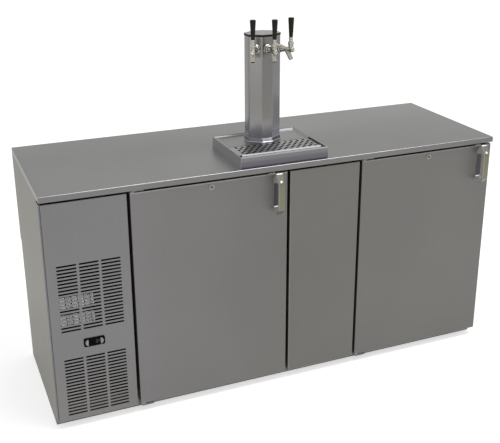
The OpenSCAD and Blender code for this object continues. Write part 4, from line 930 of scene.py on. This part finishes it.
class COOLER_OT_tray(bpy.types.Operator):
    """Drip tray with its rolled hems, grid and drain"""

    bl_idname = "cooler.tray"
    bl_label = "Drip tray"

    WALL, DECK_DROP = 4 * MM, 6 * MM
    # Profiles of the grid's front hem and of the tray's front edge: (rise, depth behind the front) in mm
    HEM = ((0, -3.4), (0.4, -3.4), (5, -0.6), (5, 2.4), (0, 2.4))
    FRONT = ((0.6, -0.3), (2.8, -0.5), (4.6, 0.2), (5.2, 1.4), (5.2, 2.6), (0.6, 2.6))
    # Insets from the left and the right end and drop below the top, of the grid's hem and of the tray's edge
    HEM_LEFT, HEM_RIGHT, HEM_DROP = 8 * MM, 5 * MM, 4.7 * MM
    FRONT_INSET, FRONT_DROP = 1 * MM, 3.6 * MM
    # Rolled hem: corner radius, drop below the tray's top, and sides of its section
    ROLL_CORNER, ROLL_DROP, ROLL_SIDES = 3 * MM, 0.6 * MM, 8
    # Slope between deck and walls: its width at the sides and at the back, and its start behind the grid
    COVE_SIDE, COVE_BACK, COVE_START = 5.2 * MM, 2.4 * MM, 1 * MM
    # Black slab below the grid, as painted shade: inset from the grid's front and back, lower and upper face,
    # edge and corner
    WELL = np.array([3, 1.2, 1.8, 0.3, 2]) * MM
    # Painted light on the tray's left side, and the well's black as painted shade
    SIDE_TINT, WELL_TINT = (1.95, 1.92, 2.08), (0.006, 0.006, 0.007)
    # The grid hem's folds are sharp from this angle on
    FOLD = 30.0

    def execute(self, context):
        finish = context.scene.cooler_finish
        low, high = node_box("drip_tray")
        grid_low, grid_high = node_box("drip_grid")
        self.walls(finish, low[2], high[2])
        dress(brushed("grid_steel", finish.counter, GRAIN_X, 0.3), "drip_grid")
        dress(plated("drain_chrome", finish.chrome), "drain_fitting")
        rolled = brushed("hem_steel", finish.counter, GRAIN_X, 0.2)
        # Painted highlights on the grid's hem, the tray's front edge and the cove's front faces
        bright = brushed("grid_hem_steel", shade(finish.hem, 1.15), GRAIN_X, 0.26)
        soft = brushed("front_hem_steel", shade(finish.hem, 0.72), GRAIN_X, 0.34)
        rim = self.rim(low, high, context.scene.cooler_sizes.hem_radius)
        make_piece("tray_hem", rim, rolled, "cabinet")
        front = self.bar(low[0] + self.FRONT_INSET, high[0] - self.FRONT_INSET, low[1],
                         high[2] - self.FRONT_DROP, self.FRONT)
        make_piece("tray_front_hem", front, soft, "cabinet")
        hem = self.bar(grid_low[0] + self.HEM_LEFT, grid_high[0] - self.HEM_RIGHT, grid_low[1],
                       grid_high[2] - self.HEM_DROP, self.HEM)
        make_piece("grid_hem", hem, bright, "grid", smooth=self.FOLD)
        cove = self.cove(low, high, grid_high[1] + self.COVE_START)
        slope = make_piece("tray_cove", cove, rolled, "cabinet")
        repaint(slope, (bright,), lambda normal: normal[:, 1] < -0.5)
        inset, lower, upper, edge, corner = self.WELL
        well = slab((grid_low[0], grid_low[1] + inset, low[2] + lower),
                    (grid_high[0], grid_high[1] - inset, low[2] + upper), edge, corner, (0, 0, 1))
        # Painted shade: the well below the grid is a black slab
        dark = moulded("well_coating", self.WELL_TINT, 0.6, specular=0.1)
        make_piece("tray_well", well, dark, "cabinet")
        return {"FINISHED"}

    def walls(self, finish, foot, top):
        """Steel of the tray: painted shade low on its walls, plain on the deck, and painted light on its left
        side.
        """
        deep = tuple(t / c for t, c in zip(finish.tray, finish.counter))
        # Painted shade: the walls darken towards their foot
        fade = ((foot, shade(deep, 0.9)), (foot + 20 * MM, deep), (foot + 28 * MM, 0.8),
                (top - 6.5 * MM, 0.8), (top - self.DECK_DROP, 0.84))
        dress(brushed("tray_steel", finish.counter, GRAIN_X, fade=fade), "drip_tray")
        side = brushed("tray_side_steel", shade(finish.counter, self.SIDE_TINT), GRAIN_X)
        repaint(NODES["drip_tray"], (side,), lambda normal: normal[:, 0] < -0.7)

    def rim(self, low, high, bead):
        """An eight-sided bead along the tray's upper edge: path + across * half * cos + up * bead * sin.

        across is the level direction square to the path."""
        outline = rounded_outline(*(high - low - self.WALL)[:2], self.ROLL_CORNER) + (low + high)[:2] / 2
        path = np.c_[outline, np.full(len(outline), high[2] - self.ROLL_DROP)]
        ahead = np.roll(path, -1, 0) - np.roll(path, 1, 0)
        across = np.cross(ahead / np.linalg.norm(ahead, axis=1, keepdims=True), (0, 0, 1))
        angle = np.linspace(0, 2 * np.pi, self.ROLL_SIDES, endpoint=False)
        half = self.WALL / 2 / math.cos(math.pi / self.ROLL_SIDES)
        points = path[:, None] + across[:, None] * (half * np.cos(angle))[:, None]
        points[..., 2] += bead * np.sin(angle)
        return points.reshape(-1, 3), grid_quads(len(path), len(angle), wrap_rows=True, wrap_columns=True)

    def cove(self, low, high, start):
        """A slope between the deck and three walls: a bar through lines at their foot, up them and on it.

        Each end is drawn together to one point."""
        left, right, back = low[0] + self.WALL, high[0] - self.WALL, high[1] - self.WALL
        wall = np.array([(left, start), (left, back), (right, back), (right, start)])
        inward = np.array([(1, 0), (1, -1), (-1, -1), (-1, 0)]) * (self.COVE_SIDE, self.COVE_BACK)
        foot = np.full(4, high[2] - self.DECK_DROP)
        lines = np.stack([np.c_[wall, foot], np.c_[wall, foot + self.COVE_SIDE], np.c_[wall + inward, foot]])
        ends = np.broadcast_to(lines[:1, [0, -1]], (3, 2, 3))
        points = np.concatenate([ends[:, :1], lines, ends[:, 1:]], 1)
        return points.reshape(-1, 3), grid_quads(3, points.shape[1], wrap_rows=True)

    @staticmethod
    def bar(first, last, front, foot, profile):
        """A closed bar along X from a profile of (rise, depth) in mm: y = front + depth, z = foot + rise.

        At both ends the profile shrinks to a point."""
        along = np.array([first, first, first + 1 * MM, last - 1 * MM, last, last])[:, None]
        size = np.array([0, 1, 1, 1, 1, 0])[:, None]
        rise, depth = np.array(profile).T * MM
        points = np.stack(np.broadcast_arrays(along, front + size * depth, foot + size * rise), -1)
        return points.reshape(-1, 3), grid_quads(len(along), len(profile), wrap_columns=True)


class COOLER_OT_tower(bpy.types.Operator):
    """Tower column, flange, cap and beer lines"""

    bl_idname = "cooler.tower"
    bl_label = "Tap tower"

    # Widths of the front and side facets on a column of this size, the column's wall and its softened corners
    FRONT, SIDE, COLUMN = 40 * MM, 44 * MM, np.array([129, 99]) * MM
    WALL, SOFT = 2 * MM, 3 * MM
    # Left, right and front facets with painted reflection: finish, tint, and rows of (height over the foot in
    # mm, gain, extra blue)
    FACETS = (
        ("tower_steel", (1.0, 1.0, 1.0),
         ((0, 1.95, 0.09), (40, 1.62, 0.08), (65, 1.4, 0.05), (90, 1.18, 0.02), (120, 1.08, 0),
          (160, 1.0, 0))),
        ("tower_steel_cool", (0.98, 0.98, 1.06),
         ((0, 2.7, 0.08), (40, 3.1, 0.08), (65, 2.2, 0.04), (114, 1.85, 0.02), (162, 1.45, 0.01),
          (210, 1.08, 0), (260, 0.95, 0))),
        ("tower_steel_front", (0.91, 0.89, 0.87),
         ((0, 1.75, 0.12), (40, 2.5, 0.1), (65, 1.6, 0.05), (95, 1.08, 0), (130, 1.0, 0))))
    # Flange: (distance out from the column, height over its foot) in mm, and the painted reflections on its
    # sides
    FLANGE = ((4.5, 0.0), (4.5, 1.4), (2.6, 3.0), (0.9, 14.5), (0.0, 15.0), (0.0, 0.0))
    FLANGE_FRONT, FLANGE_LEFT, FLANGE_RIGHT = (1.15, 1.15, 1.25), (0.15, 0.147, 0.18), (0.16, 0.155, 0.19)
    # Cap band: how far its lip, its core and its fit stand out from the column, and its drop below the seat
    LIP, CORE, FIT, DROP = 1.5 * MM, -4.4 * MM, 0.05 * MM, 2.2 * MM
    RUBBER, LINE = (0.008, 0.008, 0.006), (0.6, 0.62, 0.6)

    def execute(self, context):
        finish = context.scene.cooler_finish
        low, high = node_box("tower_column")
        foot, top = low[2], high[2]
        steel, *others = (
            brushed(name, shade(finish.tower, tint), GRAIN_Z, 0.25, fade=self.fade(foot, top, rows))
            for name, tint, rows in self.FACETS)
        outer, inner = self.outline(low, high, 0.0), self.outline(low, high, -self.WALL)
        wall = loft((outer, foot), (outer, top), (inner, top), (inner, foot))
        sleeve = make_piece("tower_sleeve", wall, steel, "cabinet", ("tower_column",))
        repaint(sleeve, others, self.facet)
        rows = ((self.outline(low, high, grow * MM), foot + rise * MM) for grow, rise in self.FLANGE)
        ring = make_piece("flange_ring", loft(*rows), steel, "cabinet", ("tower_flange",))
        sides = (("flange_edge", shade(finish.hem, 0.55)),
                 ("flange_front", shade(finish.hem, self.FLANGE_FRONT)),
                 ("flange_left", self.FLANGE_LEFT), ("flange_right", self.FLANGE_RIGHT))
        repaint(ring, [brushed(name, tint, GRAIN_X, 0.3) for name, tint in sides], self.flange_side)
        dress(brushed("cap_steel", shade(finish.tower, 1.3), GRAIN_X, 0.4), "tower_cap")
        rubber = moulded("cap_rubber", self.RUBBER, 0.7, specular=0.15)
        make_piece("cap_band", self.band(low, high), rubber, "cabinet", ("cap_gasket",))
        dress(moulded("line_plastic", self.LINE, 0.3), "beer_lines")
        return {"FINISHED"}

    @staticmethod
    def fade(foot, top, rows):
        """Rows of (height over the foot in mm, gain, extra blue) as heights in metres and colour factors."""
        factors = [(foot + rise * MM, (gain, gain, gain * (1 + blue))) for rise, gain, blue in rows]
        return factors + [(top, factors[-1][1])]

    @staticmethod
    def facet(normal):
        """Number of a face's finish: 1 on the right, 2 in front, else 0."""
        return np.select([normal[:, 0] > 0.3, normal[:, 1] < -0.95], [1, 2], 0)

    @staticmethod
    def flange_side(normal):
        """Number of a face's painted light: 1 highlight on the chamfer, reflection 2 in front, 3 on the left,
        4 on the right, else 0.
        """
        x, y, z = normal.T
        return np.select([(np.abs(x) < 0.2) & (y < -0.3), z > 0.5, x < -0.3, x > 0.3], [2, 1, 3, 4], 0)

    def outline(self, low, high, grow):
        """Eight-sided outline in a box grown on every side, with wide diagonal facets and soft corners."""
        middle, half = (low + high)[:2] / 2, (high - low)[:2] / 2 + grow
        across, deep = half
        front, side = np.array([self.FRONT, self.SIDE]) * half / self.COLUMN
        corners = np.array([(across, -side), (across, side), (front, deep), (-front, deep),
                            (-across, side), (-across, -side), (-front, -deep), (front, -deep)])
        return rounded_loop(corners + middle, self.SOFT)

    def band(self, low, high):
        """A ring between the column and its cap whose lip hangs over the column's top edge."""
        seat, cover = (corner[2] for corner in node_box("cap_gasket"))
        lip, core, fit = (self.outline(low, high, grow) for grow in (self.LIP, self.CORE, self.FIT))
        drop = seat - self.DROP
        return loft((lip, drop), (lip, cover), (core, cover), (core, seat), (fit, seat), (fit, drop))


class COOLER_OT_taps(bpy.types.Operator):
    """Shanks, collars, nuts, tap bodies, levers, knobs and valve shafts"""

    bl_idname = "cooler.taps"
    bl_label = "Taps"

    # From the column to a lever's pivot, ahead and up, and to the spout's root, ahead and down
    REACH, PIVOT, SPOUT_AT, SPOUT_DROP = 64 * MM, 13 * MM, 46 * MM, 2 * MM
    SPOUT_LEAN = math.radians(31)
    # Turned profiles in mm: (radius, distance along the axis, rounding of that corner)
    # The collar band is dark chrome, as painted shade round each collar
    BAND = ((19.2, 0.3, 0), (19.5, 0.3, 0.1), (19.5, 3.3, 0.1), (18.9, 3.9, 0.1), (18.6, 3.6, 0))
    COLLAR = ((11.2, 0.0, 0), (19.3, 0.0, 0.8), (19.3, 3.2, 1.2), (15.5, 6.9, 1.2), (11.2, 6.9, 0))
    NUT = ((11.2, 8.0, 0), (16, 8.0, 1.0), (16, 11.5, 0.5), (15.2, 12.2, 0.4), (15.2, 13.6, 0.4),
           (16, 14.3, 0.5), (16, 19, 1.2), (13.6, 21, 0.8), (11.2, 21, 0))
    BARREL = ((0.0, 21.1, 0), (13, 21.1, 0.8), (13, 26, 2.5), (8.6, 40, 6.0), (9.5, 54, 3.0),
              (9.5, 73.6, 1.6), (7.2, 76, 0.8), (5.2, 76, 0.6), (4.6, 75, 0.4), (0.0, 75, 0))
    SPOUT = ((0.0, -4.0, 0), (9.4, -4.0, 0.5), (9.4, 4, 1.0), (8.4, 39.4, 0.5), (8.0, 40, 0.3),
             (7.3, 40, 0.3), (6.9, 39.5, 0.3), (6.9, 22, 0.4), (0.0, 22, 0))
    # The bore is a thin black lining, as painted shade inside each spout
    BORE = ((0.0, 22.1, 0), (6.85, 22.1, 0.2), (6.85, 39.2, 0.1), (6.5, 39.2, 0.1), (6.5, 22.6, 0.2),
            (0.0, 22.6, 0))
    BALL = ((0.0, -13, 0), (8.6, -13, 0.5), (8.6, -8.6, 0.8), (7.4, -7.6, 0.6), (8.3, -5.9, 0.8),
            (10.2, 0, 4.0), (9.0, 4.9, 2.2), (5.6, 8.55, 2.0), (0.0, 10.2, 0))
    LEVER = ((0.0, 10.7, 0), (5.9, 9.0, 2.0), (9.3, 5.2, 0.3), (9.8, 5.0, 0.3), (10.7, 6.6, 0.8),
             (10.7, 13.6, 1.6), (7.6, 18.5, 1.5), (7.6, 21, 0.6), (6.6, 21.8, 0.5), (6.6, 24.2, 0.5),
             (7.4, 25, 0.5), (7.4, 32.7, 0.7), (6.2, 33.5, 0.5), (0.0, 33.5, 0))
    # Knob: its foot's share of its width, its drop below the CAD knob, and how much shorter it is
    KNOB_FOOT, KNOB_DROP, KNOB_SHORT = 0.64, 1.5 * MM, 2 * MM
    # Painted shade inside the spouts
    BORE_TINT = (0.004, 0.004, 0.004)

    def execute(self, context):
        finish = context.scene.cooler_finish
        chrome = plated("tap_chrome", finish.chrome, 0.2)
        black = moulded("knob_black", finish.knob, 0.5, specular=0.1)
        dark = moulded("bore_black", self.BORE_TINT, 0.7, specular=0.05)
        # Painted shade: dark chrome for the collar bands
        shadow = plated("collar_band_chrome", shade(finish.chrome, 0.14), 0.3)
        dress(chrome, "shanks")
        taps = []
        for number in (1, 2, 3):
            body, tap = f"lever_{number}", self.lines(JOINTS[f"lever_{number}_pull"])
            lever = stood(lathe(self.LEVER), *tap["pivot"])
            make_piece(f"tap_handle_{number}", lever, chrome, body, (f"tap_lever_{number}",))
            knob = self.knob(*node_box(f"tap_knob_{number}"))
            make_piece(f"tap_knob_grip_{number}", knob, black, body, (f"tap_knob_{number}",))
            dress(chrome, f"tap_valve_{number}")
            taps.append(tap)
        # Fixed pieces: name, finish, slot, nodes that each replaces, and its profiles on a line of each tap
        casting = ((self.BARREL, "barrel"), (self.SPOUT, "spout"), (self.BALL, "pivot"))
        fixed = (("shank_collar_rings", chrome, "chrome", ("shank_collars",), ((self.COLLAR, "barrel"),)),
                 ("coupling_nuts", chrome, "chrome", ("shank_nuts",), ((self.NUT, "barrel"),)),
                 ("tap_castings", chrome, "chrome", ("tap_bodies",), casting),
                 ("spout_bores", dark, "seal", (), ((self.BORE, "spout"),)),
                 ("collar_bands", shadow, "chrome", (), ((self.BAND, "barrel"),)))
        for name, look, slot, replaced, profiles in fixed:
            parts = [stood(lathe(profile), *tap[line]) for tap in taps for profile, line in profiles]
            make_piece(name, joined(*parts), look, "cabinet", replaced)
        return {"FINISHED"}

    def lines(self, joint):
        """Place, axis and side of a tap's barrel, spout and pivot, from its lever's joint."""
        pivot, side, up = np.array(joint["pos_m"]), np.array(joint["axis"]), np.array([0, 0, 1])
        ahead = np.cross(side, up)
        root = pivot - ahead * self.REACH - up * self.PIVOT
        spout = root + ahead * self.SPOUT_AT - up * self.SPOUT_DROP
        lean = ahead * math.sin(self.SPOUT_LEAN) - up * math.cos(self.SPOUT_LEAN)
        return {"barrel": (root, ahead, side), "spout": (spout, lean, side), "pivot": (pivot, up, side)}

    def knob(self, low, high):
        """A tapered grip turned about its own axis, with rounded ends."""
        tall, wide = (high[2] - low[2] - self.KNOB_SHORT) / MM, (high[0] - low[0]) / 2 / MM
        knots = ((0, 0, 0), (wide * self.KNOB_FOOT, 0, 0.8), (wide * 0.99, tall - 4, 2),
                 (wide, tall - 2, 1.2), (wide - 2, tall, 1.2), (0, tall, 0))
        place = ((low[0] + high[0]) / 2, (low[1] + high[1]) / 2, low[2] - self.KNOB_DROP)
        return stood(lathe(knots, 10), place, (0, 0, 1), (1, 0, 0))


GROUPS = (CoolerFinish, CoolerSizes, CoolerStage)
STEPS = (COOLER_OT_stage, COOLER_OT_cabinet, COOLER_OT_doors, COOLER_OT_handles, COOLER_OT_controller,
         COOLER_OT_refrigeration, COOLER_OT_tray, COOLER_OT_tower, COOLER_OT_taps)


class COOLER_PT_panel(bpy.types.Panel):
    """Lists the cooler's values and pieces"""

    bl_idname = "COOLER_PT_panel"
    bl_label = "Beer Cooler"
    bl_space_type = "VIEW_3D"
    bl_region_type = "UI"
    bl_category = "Beer Cooler"

    def draw(self, context):
        for group in (context.scene.cooler_finish, context.scene.cooler_sizes, context.scene.cooler_stage):
            box = self.layout.box()
            for name in group.__annotations__:
                box.prop(group, name)
        for step in STEPS:
            self.layout.operator(step.bl_idname)


def register():
    for cls in GROUPS + STEPS + (COOLER_PT_panel,):
        bpy.utils.register_class(cls)
    bpy.types.Scene.cooler_finish = bpy.props.PointerProperty(type=CoolerFinish)
    bpy.types.Scene.cooler_sizes = bpy.props.PointerProperty(type=CoolerSizes)
    bpy.types.Scene.cooler_stage = bpy.props.PointerProperty(type=CoolerStage)


def unregister():
    del bpy.types.Scene.cooler_stage
    del bpy.types.Scene.cooler_sizes
    del bpy.types.Scene.cooler_finish
    for cls in reversed(GROUPS + STEPS + (COOLER_PT_panel,)):
        bpy.utils.unregister_class(cls)


def main():
    register()
    bpy.ops.cooler.stage()
    bpy.ops.cooler.cabinet()
    bpy.ops.cooler.doors()
    bpy.ops.cooler.handles()
    bpy.ops.cooler.controller()
    bpy.ops.cooler.refrigeration()
    bpy.ops.cooler.tray()
    bpy.ops.cooler.tower()
    bpy.ops.cooler.taps()
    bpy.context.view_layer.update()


if __name__ == "__main__":
    main()
